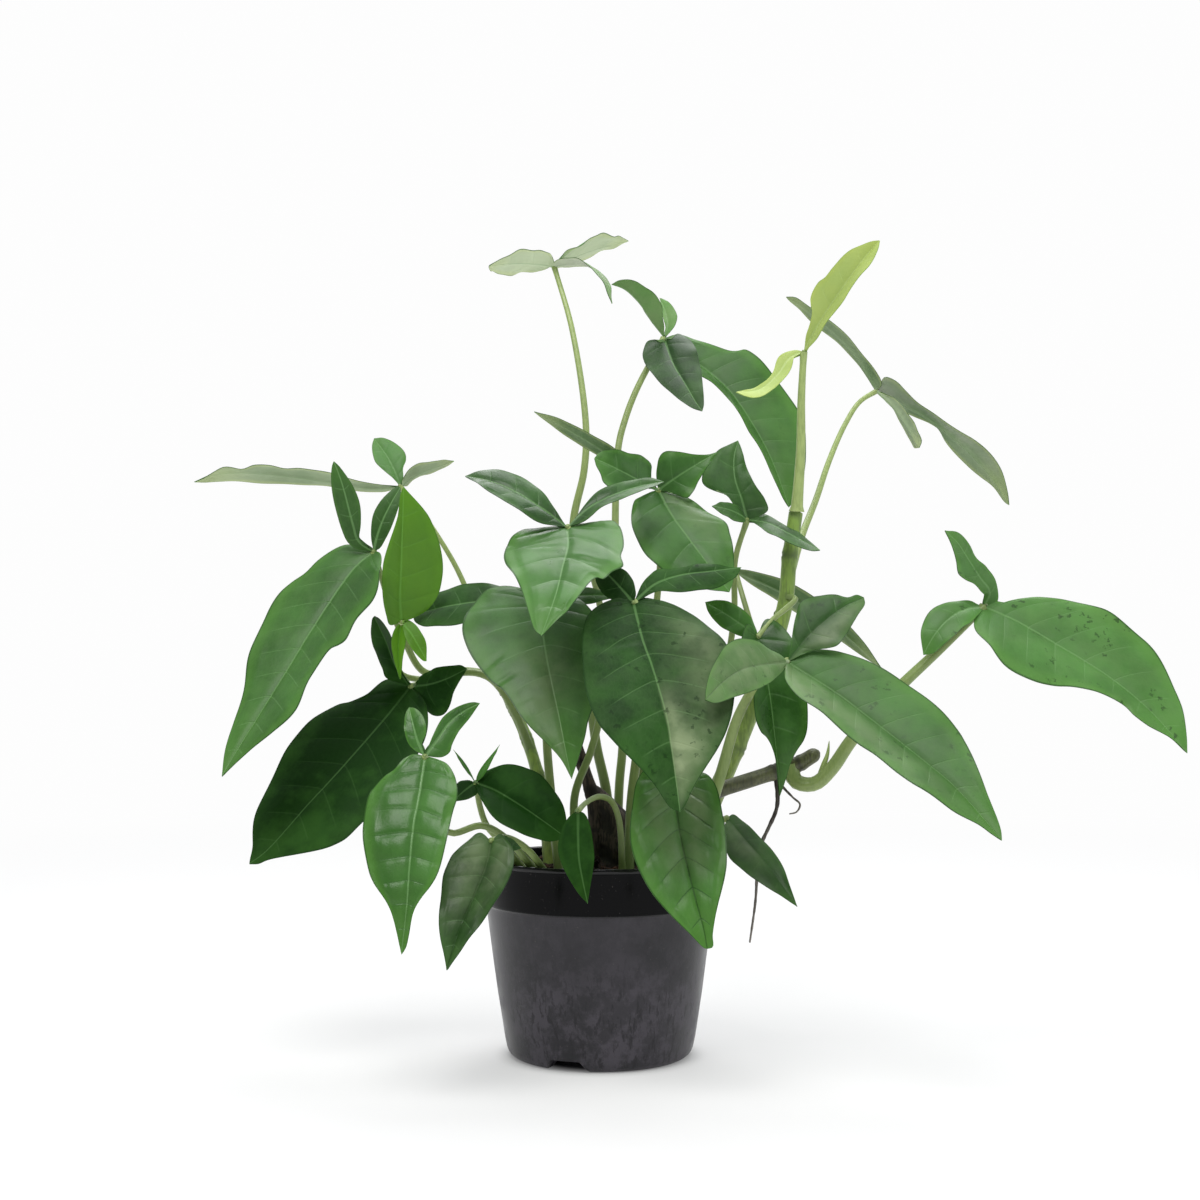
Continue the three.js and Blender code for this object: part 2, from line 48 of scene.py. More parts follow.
# ---------------------------------------------------------------------------------- studio
# A pale seamless floor under broad soft lamps, with a white surround. The lens looks from
# the height of the leaves' middle, a little upwards.
lens = bpy.data.cameras.new("studio_camera")
lens.sensor_width = 36.0
lens.lens = 50.4
camera = bpy.data.objects.new("studio_camera", lens)
camera.location = (0.0, -0.930, 0.204)
camera.rotation_euler = (math.radians(90 + 2.71), 0.0, 0.0)
scene.collection.objects.link(camera)
scene.camera = camera
scene.view_settings.view_transform = "Standard"

for name, place, aim, size, watts, tint in [
    ("key_softbox", (-0.4, -1.45, 2.4), (0, 0, 0.22), 1.5, 56, (1.0, 0.99, 0.97)),
    ("side_softbox", (1.9, -0.9, 1.3), (0, 0, 0.25), 1.2, 10, (0.97, 0.99, 1.0)),
    ("top_softbox", (0.2, 0.9, 2.3), (0, 0, 0.25), 1.6, 34, (1.0, 1.0, 1.0)),
]:
    lamp = bpy.data.lights.new(name, "AREA")
    lamp.size = size
    lamp.energy = watts
    lamp.color = tint
    stand = bpy.data.objects.new(name, lamp)
    stand.location = place
    ray = [aim[k] - place[k] for k in range(3)]
    stand.rotation_euler = (math.acos(-ray[2] / math.dist(aim, place)), 0.0,
                            math.atan2(ray[1], ray[0]) - math.pi / 2)
    scene.collection.objects.link(stand)


def finish(name):
    """A new finish, with its node tree and its shader."""
    material = bpy.data.materials.new(name)
    material.use_nodes = True
    tree = material.node_tree
    shader = next(n for n in tree.nodes if n.type == "BSDF_PRINCIPLED")
    return material, tree, shader


def feed(tree, socket, value):
    """Gives a socket a value, or another node's output."""
    if isinstance(value, bpy.types.NodeSocket):
        tree.links.new(value, socket)
    else:
        socket.default_value = value


def wire(tree, kind, settings=None, **sockets):
    """Adds one shader node, its sockets named, or numbered after an underscore."""
    node = tree.nodes.new(kind)
    for key, value in (settings or {}).items():
        setattr(node, key, value)
    for key, value in sockets.items():
        socket = node.inputs[int(key[1:]) if key[0] == "_" else key.replace("_", " ")]
        feed(tree, socket, value)
    return node


def blend(tree, share, first, second, mode="MIX"):
    """The colour between two colours at a share from 0 to 1."""
    return wire(tree, "ShaderNodeMix", {"data_type": "RGBA", "blend_type": mode},
                _0=share, _6=first, _7=second).outputs[2]


def sums(tree, kind, *values):
    """The output of one Math node."""
    node = wire(tree, "ShaderNodeMath", {"operation": kind})
    for socket, value in zip(node.inputs, values):
        feed(tree, socket, value)
    return node.outputs[0]


def times(tree, first, second):
    """One value times another."""
    return sums(tree, "MULTIPLY", first, second)


def plus(tree, first, second):
    """One value plus another."""
    return sums(tree, "ADD", first, second)


def ramp(tree, value, low, high, to_low=0.0, to_high=1.0, smooth=True):
    """A value carried from one range to another."""
    kind = "SMOOTHSTEP" if smooth else "LINEAR"
    return wire(tree, "ShaderNodeMapRange", {"interpolation_type": kind, "clamp": True},
                _0=value, _1=low, _2=high, _3=to_low, _4=to_high).outputs[0]


def on_object(tree):
    """The place on the piece, in metres."""
    return wire(tree, "ShaderNodeTexCoord").outputs["Object"]


surround = bpy.data.worlds.new("white_surround")
surround.use_nodes = True
scene.world = surround
sky = surround.node_tree
sky.nodes.clear()
sky_way = wire(sky, "ShaderNodeTexCoord").outputs["Generated"]
sky_depth = wire(sky, "ShaderNodeSeparateXYZ", _0=sky_way).outputs["Y"]
room_light = wire(sky, "ShaderNodeBackground", Color=(0.93, 0.96, 1.0, 1.0),
                  Strength=ramp(sky, sky_depth, -0.5, 0.9, 0.20, 0.78, smooth=False))
backdrop = wire(sky, "ShaderNodeBackground", Color=(1.0, 1.0, 1.0, 1.0), Strength=0.985)
in_view = wire(sky, "ShaderNodeLightPath").outputs["Is Camera Ray"]
sky_mix = wire(sky, "ShaderNodeMixShader", _0=in_view, _1=room_light.outputs[0], _2=backdrop.outputs[0])
wire(sky, "ShaderNodeOutputWorld", Surface=sky_mix.outputs[0])


def work_on(*objects):
    """Leaves only these objects selected, the first one active."""
    bpy.ops.object.select_all(action="DESELECT")
    for item in objects:
        item.select_set(True)
    bpy.context.view_layer.objects.active = objects[0]


FLOOR_REACH = 7.0
POT_SHADE = (0.036, 0.060)  # the floor goes from dark to lit between these radii
FLOOR_FADE = (0.30, 1.70)  # and melts into the backdrop between these
BLACK, PAPER, GLOW, WHITE = ((tone, tone, tone, 1) for tone in (0.0, 0.44, 0.45, 0.985))
bpy.ops.object.select_all(action="DESELECT")
bpy.ops.mesh.primitive_circle_add(vertices=96, radius=FLOOR_REACH, fill_type="NGON", location=(0, 0, 0))
floor = bpy.context.object
floor.name = "studio_floor"
floor_paper, tree, shader = finish("floor_paper")
radius = wire(tree, "ShaderNodeVectorMath", {"operation": "LENGTH"}, _0=on_object(tree)).outputs["Value"]
away = ramp(tree, radius, *FLOOR_FADE)
# The floor's emission is painted light: beyond the pot's foot it glows, lightening the shadows cast on it,
# and under the pot it goes dark.
painted_floor_glow = blend(tree, ramp(tree, radius, *POT_SHADE), BLACK, GLOW)
tree.links.new(blend(tree, away, PAPER, BLACK), shader.inputs["Base Color"])
tree.links.new(blend(tree, away, painted_floor_glow, WHITE), shader.inputs["Emission Color"])
shader.inputs["Emission Strength"].default_value = 1.0
shader.inputs["Roughness"].default_value = 0.9
shader.inputs["Specular IOR Level"].default_value = 0.0
floor_paper.cycles.emission_sampling = "NONE"
floor.data.materials.append(floor_paper)

# ------------------------------------------------------------------------------ nursery pot
# A thin pot blow-moulded in black polypropylene, in one piece. It stands on a round pad and
# a foot ring whose notches let water out; a smooth collar widens into the rolled rim.
POT_TURN = 160  # faces round the pot
HEIGHT = 107.0
COLLAR = (82.4, 104.3)  # the smooth collar's lowest and highest place
pot_profile = [  # radius and height, from the middle of the underside round to the inside
    (6, 0.0), (26, 0.0), (27.6, 0.4), (28.6, 1.5), (30.2, 4.2), (31.2, 5.0),
    (41.4, 5.0), (42.2, 4.4), (42.9, 0.9), (43.4, 0.2), (44.2, 0.0), (45.6, 0.05), (46.9, 0.3),
    (48.2, 0.9), (49.3, 1.8), (50.2, 3.1), (50.9, 4.9), (51.4, 7.2), (52.0, 10.0), (53.3, 18.5),
    (56.0, 36.0), (58.2, 52.0), (60.3, 67.0), (61.9, 78.6), (62.35, 81.2), (62.6, 81.9),
    (63.35, 82.5), (63.65, 83.2), (63.75, 84.4), (64.1, 90.0), (64.6, 97.0), (65.0, 103.2),
    (65.2, 104.0), (65.9, 104.5), (66.2, 105.0), (66.2, 106.2), (65.9, 106.8), (65.2, 107.0),
    (64.4, 106.9), (63.9, 106.5), (63.7, 105.8), (63.5, 100.0), (62.9, 90.0), (62.5, 83.6),
    (61.4, 81.9), (61.1, 80.6), (57.0, 52.0), (52.9, 22.0), (50.2, 8.4), (49.4, 6.6),
    (48.2, 6.2), (32.0, 6.2), (30.8, 5.6), (28.6, 2.0), (27.2, 1.2), (6, 1.2),
]


def turned(name, profile, sides):
    """A closed round shape: a disc drawn out, ring by ring, along a profile of radius and height."""
    bpy.ops.object.select_all(action="DESELECT")
    bpy.ops.mesh.primitive_circle_add(
        vertices=sides, radius=profile[0][0] * MM, fill_type="NGON", location=(0, 0, profile[0][1] * MM))
    piece = bpy.context.object
    piece.name = name
    bpy.ops.object.transform_apply(location=True, rotation=True, scale=True)
    bpy.ops.object.mode_set(mode="EDIT")
    bpy.ops.mesh.select_all(action="SELECT")
    for (radius, height), (wider, higher) in zip(profile, profile[1:]):
        bpy.ops.mesh.extrude_edges_move(
            TRANSFORM_OT_translate={"value": (0, 0, (higher - height) * MM)})
        swell = wider / radius
        bpy.ops.transform.resize(value=(swell, swell, 1), center_override=(0, 0, higher * MM))
    bpy.ops.mesh.edge_face_add()
    bpy.ops.mesh.select_all(action="SELECT")
    bpy.ops.mesh.normals_make_consistent(inside=False)
    bpy.ops.object.mode_set(mode="OBJECT")
    return piece


def cut_away(piece, cutter):
    """Cuts one solid out of another and drops the cutter."""
    work_on(piece)
    bite = piece.modifiers.new("cut", "BOOLEAN")
    bite.operation = "DIFFERENCE"
    bite.solver = "EXACT"
    bite.object = cutter
    bpy.ops.object.modifier_apply(modifier=bite.name)
    bpy.data.objects.remove(cutter)


def corners(piece):
    """The places of a piece's vertices: rows of x, y and z in metres."""
    places = np.empty(len(piece.data.vertices) * 3)
    piece.data.vertices.foreach_get("co", places)
    return places.reshape(-1, 3)


pot = turned("pot_shell", pot_profile, POT_TURN)

# Three notches in the foot ring and three drain holes in the channel between ring and pad.
FIRST_NOTCH = -21  # degrees round from the front
NOTCH_AT, NOTCH_WIDE, NOTCH_NARROW, NOTCH_DEEP, NOTCH_TALL = 48, 30, 16, 13, 10
DRAIN_AT, DRAIN_RADIUS = 38, 4
for turn in range(3):
    angle = math.radians(FIRST_NOTCH + 120 * turn)
    bpy.ops.object.select_all(action="DESELECT")
    bpy.ops.mesh.primitive_cube_add(size=1, location=(0, -NOTCH_AT * MM, 1.0 * MM))
    notch = bpy.context.object
    notch.scale = (NOTCH_WIDE * MM, NOTCH_DEEP * MM, NOTCH_TALL * MM)
    bpy.ops.object.transform_apply(location=True, rotation=True, scale=True)
    bpy.ops.object.mode_set(mode="EDIT")
    bpy.ops.mesh.select_all(action="DESELECT")
    bpy.ops.object.mode_set(mode="OBJECT")
    for face in notch.data.polygons:
        face.select = face.normal.z > 0.5
    bpy.ops.object.mode_set(mode="EDIT")
    bpy.ops.transform.resize(
        value=(NOTCH_NARROW / NOTCH_WIDE, 1, 1), center_override=(0, -NOTCH_AT * MM, 0))
    bpy.ops.mesh.select_all(action="SELECT")
    bpy.ops.mesh.bevel(offset=0.9 * MM, segments=3, affect="EDGES")
    bpy.ops.object.mode_set(mode="OBJECT")
    notch.rotation_euler = (0, 0, angle)
    bpy.ops.object.transform_apply(location=True, rotation=True, scale=True)
    cut_away(pot, notch)
    bpy.ops.object.select_all(action="DESELECT")
    hole = math.radians(FIRST_NOTCH + 120 * turn + 60)
    bpy.ops.mesh.primitive_cylinder_add(
        vertices=32, radius=DRAIN_RADIUS * MM, depth=6 * MM,
        location=(DRAIN_AT * math.sin(hole) * MM, -DRAIN_AT * math.cos(hole) * MM, 5.6 * MM))
    drain = bpy.context.object
    bpy.ops.object.transform_apply(location=True, rotation=True, scale=True)
    cut_away(pot, drain)

# A moulded shell is never quite round: the wall bows by a fraction of a millimetre.
places = corners(pot)
around = np.arctan2(places[:, 1], places[:, 0])
climb = np.clip(places[:, 2] / (HEIGHT * MM), 0, 1)
bow = 0.35 * MM * np.sin(2 * around + 0.6) * climb + 0.12 * MM * np.sin(5 * around + 9 * climb)
reach = np.hypot(places[:, 0], places[:, 1])
in_wall = reach > 45 * MM
places[:, :2] *= (1 + bow * in_wall / np.maximum(reach, 0.01))[:, None]
pot.data.vertices.foreach_set("co", places.ravel())
work_on(pot)
bpy.ops.object.shade_smooth_by_angle(angle=math.radians(32))


def noise(tree, where, scale, detail, roughness=0.5):
    """Cloudy noise from 0 to 1."""
    return wire(tree, "ShaderNodeTexNoise", Vector=where, Scale=scale, Detail=detail,
                Roughness=roughness).outputs["Fac"]


pot_plastic, tree, shader = finish("pot_black_plastic")
where = on_object(tree)
height = wire(tree, "ShaderNodeSeparateXYZ", _0=where).outputs["Z"]
wall = ramp(tree, height, 0.0812, 0.0824, 1.0, 0.0)  # 1 on the wall, 0 on the collar
low = ramp(tree, height, 0.030, 0.066, 1.0, 0.25)  # splashes dry on the lower wall
runs = wire(tree, "ShaderNodeMapping", _0=where, Scale=(1.0, 1.0, 0.24)).outputs[0]
mottle = noise(tree, where, 75.0, 6.0, 0.72)
clouds = noise(tree, where, 24.0, 3.0)
specks = noise(tree, runs, 380.0, 4.0, 0.7)
grit = noise(tree, where, 800.0, 2.0)
dust = times(tree, ramp(tree, mottle, 0.42, 0.60), low)
dust = plus(tree, times(tree, dust, 0.70), ramp(tree, clouds, 0.35, 0.65, 0.10, 0.42))
dust = times(tree, dust, wall)
# The collar's colour is blacker than the wall's: painted shade from the leaves above it.
black_with_shaded_collar = blend(tree, wall, (0.0012, 0.0012, 0.0018, 1), (0.0080, 0.0078, 0.0105, 1))
dusty = blend(tree, dust, black_with_shaded_collar, (0.056, 0.050, 0.062, 1))
bare = times(tree, ramp(tree, specks, 0.53, 0.62), low)
dusty = blend(tree, times(tree, bare, times(tree, wall, 0.8)), dusty, (0.009, 0.008, 0.011, 1))
spots = times(tree, ramp(tree, grit, 0.70, 0.76), 0.35)
dusty = blend(tree, spots, dusty, (0.12, 0.11, 0.10, 1))
tree.links.new(dusty, shader.inputs["Base Color"])
gloss = plus(tree, times(tree, wall, 0.07), 0.19)
tree.links.new(sums(tree, "MULTIPLY_ADD", dust, 0.20, gloss), shader.inputs["Roughness"])
shader.inputs["Specular IOR Level"].default_value = 0.36
relief = plus(tree, times(tree, grit, wall), times(tree, specks, 0.5))
bumps = wire(tree, "ShaderNodeBump", Strength=0.10, Distance=0.0004, Height=relief)
tree.links.new(bumps.outputs[0], shader.inputs["Normal"])
shaded_collar_plastic = pot_plastic.copy()  # painted shade: the collar is the same plastic, darker and less reflective, as if the leaves above shaded it
shaded_collar_plastic.name = "pot_collar_painted_shade"
smooth = next(n for n in shaded_collar_plastic.node_tree.nodes if n.type == "BSDF_PRINCIPLED")
smooth.inputs["Specular IOR Level"].default_value = 0.10
pot.data.materials.clear()
pot.data.materials.append(pot_plastic)
pot.data.materials.append(shaded_collar_plastic)
for face in pot.data.polygons:
    face.material_index = int(COLLAR[0] * MM < face.center.z < COLLAR[1] * MM)
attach(pot, "root")
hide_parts("nursery_pot")

# ------------------------------------------------------------------------------ potting soil
# Dark peat mixed with bark chips and coir. It fills the pot, heaps up round the stems and is
# rough on top, with loose crumbs and fibres lying on it.
dice = np.random.default_rng(11)
SOIL_TURN = 120  # faces round the soil
SOIL_REACH = 61.6
LOOSE_FROM = 98.5  # the height above which the soil lies loose
HEAP_HEIGHT = 0.0165
soil_side = [(1.0, 1.6), (26.6, 1.6), (29.4, 6.6), (48.6, 6.8), (60.9, 81.6), (61.6, 84.0)]
soil_top = [  # radius and height, from the wall to the middle
    (62.2, 98.6), (60.4, 99.4), (58.4, 99.7), (56.2, 99.9), (53.8, 100.1), (51.2, 100.3),
    (48.4, 100.5), (45.4, 100.7), (42.2, 100.9), (39.0, 101.1), (35.6, 101.3), (32.2, 101.6),
    (28.8, 101.8), (25.4, 102.0), (22.0, 102.2), (18.6, 102.4), (15.2, 102.6), (11.8, 102.7),
    (8.4, 102.9), (5.0, 103.0), (2.2, 103.0), (1.0, 103.0),
]
soil = turned("soil_block", soil_side + soil_top, SOIL_TURN)
lumps = [(dice.uniform(40, 330, 2), dice.uniform(0, 6.28, 2)) for _ in range(26)]


def heap(x, y):
    """How far the soil's surface stands off its smooth crown, in metres."""
    rise = np.zeros_like(x)
    for (across, down), (start, other) in lumps:
        rise += np.sin(across * x + start) * np.sin(down * y + other) / (18 + 0.18 * (across + down))
    return HEAP_HEIGHT * rise


def crown(reach):
    """The height of the smooth crown at a distance from the pot's axis."""
    return np.interp(-reach, [-r * MM for r, z in soil_top], [z * MM for r, z in soil_top])


def paint(piece, label, values):
    """Marks a piece's vertices for its finish to read, with one value or with one for each."""
    layer = piece.data.attributes.get(label) or piece.data.attributes.new(label, "FLOAT", "POINT")
    layer.data.foreach_set("value", np.full(len(piece.data.vertices), values, float))


def marked(tree, label):
    """What paint left on the piece."""
    return wire(tree, "ShaderNodeAttribute", {"attribute_name": label}).outputs["Fac"]


places = corners(soil)
reach = np.hypot(places[:, 0], places[:, 1])
loose = (places[:, 2] > LOOSE_FROM * MM) & (reach < (SOIL_REACH - 0.1) * MM)
stir = heap(places[:, 0], places[:, 1]) + dice.uniform(-0.35, 0.35, len(places)) * MM
places[:, 2] += np.where(loose, np.clip(stir, -1.6 * MM, 2.2 * MM), 0)
soil.data.vertices.foreach_set("co", places.ravel())

# Crumbs of bark and peat, pressed into the surface, one rough lump copied at every size.
CRUMBS = 430
CRUMB_SIZES, CRUMB_SHARES = (0.9, 1.4, 2.0, 2.9, 3.6), (0.3, 0.3, 0.22, 0.13, 0.05)
bpy.ops.object.select_all(action="DESELECT")
bpy.ops.mesh.primitive_ico_sphere_add(subdivisions=2, radius=1.0, location=(0, 0, 0))
crumb = bpy.context.object
lump = corners(crumb)
crumb_faces = np.array([tuple(f.vertices) for f in crumb.data.polygons])
bpy.data.objects.remove(crumb)
points, faces, shades = [], [], []
for number in range(CRUMBS):
    distance = (SOIL_REACH - 0.6) * math.sqrt(dice.uniform(0, 1)) * MM
    turn = dice.uniform(0, 2 * math.pi)
    size = dice.choice(CRUMB_SIZES, p=CRUMB_SHARES)
    distance = min(distance, (SOIL_REACH - size) * MM)
    x, y = distance * math.cos(turn), distance * math.sin(turn)
    shape = size * MM * dice.uniform((0.8, 0.5, 0.35), (1.5, 1.0, 0.7))
    spin = np.linalg.qr(dice.normal(size=(3, 3)))[0]
    rough = 1 + 0.22 * dice.normal(size=(len(lump), 1)).clip(-1.4, 1.4)
    ball = (lump * rough * shape) @ spin.T
    z = crown(math.hypot(x, y)) + float(heap(np.array(x), np.array(y))) + 0.1 * size * MM
    turned_in = np.linalg.det(spin) < 0
    faces.append((crumb_faces[:, ::-1] if turned_in else crumb_faces) + number * len(lump))
    points.append(ball + (x, y, z))
    shades.append(np.full(len(lump), dice.uniform(0, 1)))
crumbs = bpy.data.meshes.new("soil_crumbs")
crumbs.from_pydata(np.concatenate(points).tolist(), [], np.concatenate(faces).tolist())
crumb_pile = bpy.data.objects.new("soil_crumbs", crumbs)
scene.collection.objects.link(crumb_pile)
paint(crumb_pile, "bark", np.concatenate(shades))


def along_route(route, count):
    """Evenly spaced points on the smooth curve through a route."""
    way = np.array(route, float)
    way = np.vstack([2 * way[0] - way[1], way, 2 * way[-1] - way[-2]])
    fine = []
    for p0, p1, p2, p3 in zip(way, way[1:], way[2:], way[3:]):
        d0, d1, d2 = (max(np.linalg.norm(b - a), 1e-6) ** 0.5
                      for a, b in ((p0, p1), (p1, p2), (p2, p3)))
        m1 = ((p1 - p0) / d0 - (p2 - p0) / (d0 + d1) + (p2 - p1) / d1) * d1
        m2 = ((p2 - p1) / d1 - (p3 - p1) / (d1 + d2) + (p3 - p2) / d2) * d1
        t = np.linspace(0, 1, 40, endpoint=False)[:, None]
        fine.append(p1 + m1 * t + (-3 * p1 + 3 * p2 - 2 * m1 - m2) * t**2
                    + (2 * p1 - 2 * p2 + m1 + m2) * t**3)
    fine = np.vstack(fine + [way[-2]])
    run = np.concatenate([[0], np.cumsum(np.linalg.norm(np.diff(fine, axis=0), axis=1))])
    even = np.linspace(0, run[-1], count)
    return np.stack([np.interp(even, run, column) for column in fine.T], axis=1), run[-1]


def flat_grid(name, across, along):
    """A flat sheet of faces to bend into shape, and its vertices' places from -1 to 1."""
    bpy.ops.object.select_all(action="DESELECT")
    bpy.ops.mesh.primitive_grid_add(
        x_subdivisions=across, y_subdivisions=along, size=2, location=(0, 0, 0), calc_uvs=True)
    bpy.context.object.name = name
    return bpy.context.object, corners(bpy.context.object)


def hose(name, route, girth, sides, rows, dent=0.0):
    """A closed tube on a route, its radius given along it, with a shallow groove if dented."""
    centre, length = along_route(route, rows + 1)
    ahead = np.gradient(centre, axis=0)
    ahead /= np.linalg.norm(ahead, axis=1)[:, None]
    side = np.cross(ahead[0], (0, 1, 0.02))
    sides_out = []
    for way in ahead:
        side = side - way * side.dot(way)
        side /= np.linalg.norm(side)
        sides_out.append(side)
    side = np.array(sides_out)
    up = np.cross(ahead, side)
    tube, flat = flat_grid(name, sides, rows)
    turn = (flat[:, 0] + 1) * math.pi
    row = np.rint((flat[:, 1] + 1) / 2 * rows).astype(int)
    radius = np.array([girth(s, s * length) for s in np.linspace(0, 1, rows + 1)])[row]
    radius = radius * (1 - dent * np.exp(-(((turn - math.pi / 2) / 0.45) ** 2)))
    place = (centre[row] + side[row] * (radius * np.cos(turn))[:, None]
             + up[row] * (radius * np.sin(turn))[:, None]) * MM
    tube.data.vertices.foreach_set("co", place.ravel())
    tube.data.update()
    paint(tube, "climb", row / rows)
    bpy.ops.object.mode_set(mode="EDIT")
    bpy.ops.mesh.select_all(action="SELECT")
    bpy.ops.mesh.remove_doubles(threshold=0.002 * MM)
    bpy.ops.mesh.fill_holes(sides=sides + 2)
    bpy.ops.mesh.select_all(action="SELECT")
    bpy.ops.mesh.normals_make_consistent(inside=False)
    bpy.ops.object.mode_set(mode="OBJECT")
    bpy.ops.object.shade_smooth_by_angle(angle=math.radians(50))
    return tube


# Coir fibres lie loosely over the crumbs.
FIBRES, FIBRE_RADIUS, FIBRE_REACH = 70, 0.24, 57
fibres = []
for number in range(FIBRES):
    distance = FIBRE_REACH * math.sqrt(dice.uniform(0.02, 1))
    turn, heading = dice.uniform(0, 2 * math.pi, 2)
    reach = dice.uniform(5, 17)
    start = np.array([distance * math.cos(turn), distance * math.sin(turn)])
    path = []
    for step in np.linspace(-0.5, 0.5, 4):
        spot = start + reach * step * np.array([math.cos(heading), math.sin(heading)])
        spot += dice.uniform(-1.4, 1.4, 2)
        spot *= min(1, (SOIL_REACH - 1.2) / max(np.hypot(*spot), 1))
        level = (crown(np.hypot(*spot) * MM) + float(heap(*(spot * MM)))) / MM
        path.append((spot[0], spot[1], level + dice.uniform(0.1, 1.5)))
    fibre = hose(f"fibre_{number}", path, lambda share, run: FIBRE_RADIUS, 4, 8)
    paint(fibre, "bark", dice.uniform(0.7, 1.25))
    fibres.append(fibre)
work_on(soil, crumb_pile, *fibres)
bpy.ops.object.join()

peat, tree, shader = finish("peat_and_bark")
where = on_object(tree)
chip = marked(tree, "bark")
clods = noise(tree, where, 260.0, 6.0, 0.7)
flecks = wire(tree, "ShaderNodeTexVoronoi", Vector=where, Scale=620.0).outputs["Distance"]
mixed = blend(tree, ramp(tree, clods, 0.35, 0.7), (0.006, 0.0042, 0.0034, 1), (0.030, 0.017, 0.011, 1))
mixed = blend(tree, ramp(tree, chip, 0.55, 1.0), mixed, (0.088, 0.040, 0.021, 1))
mixed = blend(tree, ramp(tree, chip, 1.05, 1.25), mixed, (0.20, 0.115, 0.060, 1))
mixed = blend(tree, ramp(tree, flecks, 0.10, 0.16, 0.5, 0.0), mixed, (0.10, 0.072, 0.05, 1))
tree.links.new(mixed, shader.inputs["Base Color"])
shader.inputs["Roughness"].default_value = 0.93
shader.inputs["Specular IOR Level"].default_value = 0.25
bumps = wire(tree, "ShaderNodeBump", Strength=0.7, Distance=0.0008, Height=clods)
tree.links.new(bumps.outputs[0], shader.inputs["Normal"])
soil.data.materials.clear()
soil.data.materials.append(peat)
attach(soil, "root")
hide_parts("potting_soil")

# ------------------------------------------------------------------------------------ stems
# Two green climbing stems, an older cut-off stem that leans to the right and the dry stub of
# a dead one. They are round and jointed: every few centimetres a node swells the stem, with
# a scar round it where a leaf once sat. All are rooted in the soil.


def node_group(name, inputs, outputs):
    """A group of shader nodes that takes vectors and puts out masks, and its input node."""
    group = bpy.data.node_groups.new(name, "ShaderNodeTree")
    for label in inputs:
        group.interface.new_socket(label, in_out="INPUT", socket_type="NodeSocketVector")
    for label in outputs:
        group.interface.new_socket(label, in_out="OUTPUT", socket_type="NodeSocketFloat")
    return group, group.nodes.new("NodeGroupInput")


# Fine lengthwise lines and cloudy patches, for every stem, root and stalk.
stem_marks, given = node_group("stem_marks", ("Place",), ("Lines", "Patches"))
drawn = wire(stem_marks, "ShaderNodeMapping", _0=given.outputs["Place"], Scale=(1.0, 1.0, 0.14))
wire(stem_marks, "NodeGroupOutput", Lines=noise(stem_marks, drawn.outputs[0], 900.0, 3.0),
     Patches=noise(stem_marks, given.outputs["Place"], 110.0, 4.0))


def stem_ink(name, low, high, scar, rough, streak):
    """A stem's skin: lengthwise streaks, a change of colour up its length and scarred nodes."""
    skin, tree, shader = finish(name)
    ring = marked(tree, "joint")
    lines, patches = wire(tree, "ShaderNodeGroup", {"node_tree": stem_marks},
                          Place=on_object(tree)).outputs
    body = blend(tree, marked(tree, "climb"), low, high)
    body = blend(tree, ramp(tree, lines, 0.42, 0.64, 0.0, streak), body, scar)
    body = blend(tree, ramp(tree, patches, 0.5, 0.72, 0.0, streak), body, scar)
    body = blend(tree, times(tree, ring, 0.85), body, scar)
    tree.links.new(body, shader.inputs["Base Color"])
    tree.links.new(ramp(tree, patches, 0.3, 0.7, rough - 0.07, rough + 0.1), shader.inputs["Roughness"])
    bumps = wire(tree, "ShaderNodeBump", Strength=0.35, Distance=0.0003, Height=plus(tree, lines, ring))
    tree.links.new(bumps.outputs[0], shader.inputs["Normal"])
    return skin


vine_skin = stem_ink("vine_green", (0.29, 0.39, 0.095, 1), (0.20, 0.33, 0.055, 1),
                     (0.10, 0.155, 0.045, 1), 0.42, 0.55)
old_skin = stem_ink("old_stem_olive", (0.060, 0.070, 0.034, 1), (0.125, 0.135, 0.055, 1),
                    (0.034, 0.033, 0.022, 1), 0.45, 0.55)
dry_skin = stem_ink("dry_stub_brown", (0.050, 0.038, 0.028, 1), (0.085, 0.060, 0.045, 1),
                    (0.010, 0.008, 0.007, 1), 0.8, 0.9)
JOINT_SWELL, JOINT_REACH = 0.17, 3.2  # how far a joint swells the stem, and along how many mm
SCAR_DEPTH, SCAR_REACH = 0.10, 0.8  # the same for the groove in the joint's middle


def painted(piece, label):
    """What paint left on each of a piece's vertices."""
    values = np.empty(len(piece.data.vertices))
    piece.data.attributes[label].data.foreach_get("value", values)
    return values


def jointed_stem(name, node, route, radii, joints, skin, rows, tip=2.5):
    """A round stem with swollen joints at the given shares of its length and a domed end."""
    low, high = radii

    def girth(share, run):
        length = run / share if share else 1.0
        size = low + (high - low) * share
        for joint in joints:
            off = (share - joint) * length
            size *= 1 + JOINT_SWELL * math.exp(-((off / JOINT_REACH) ** 2))
            size *= 1 - SCAR_DEPTH * math.exp(-((off / SCAR_REACH) ** 2))
        if share > 0.5 and length - run < tip:
            size *= math.sqrt(max(0.05, 1 - (1 - (length - run) / tip) ** 2))
        return size

    stem = hose(name, route, girth, 28, rows)
    climb = painted(stem, "climb")
    rings = [np.exp(-(((climb - joint) * rows / 1.1) ** 2)) for joint in joints]
    paint(stem, "joint", np.max(rings, axis=0))
    stem.data.materials.append(skin)
    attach(stem, "root")
    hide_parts(node)


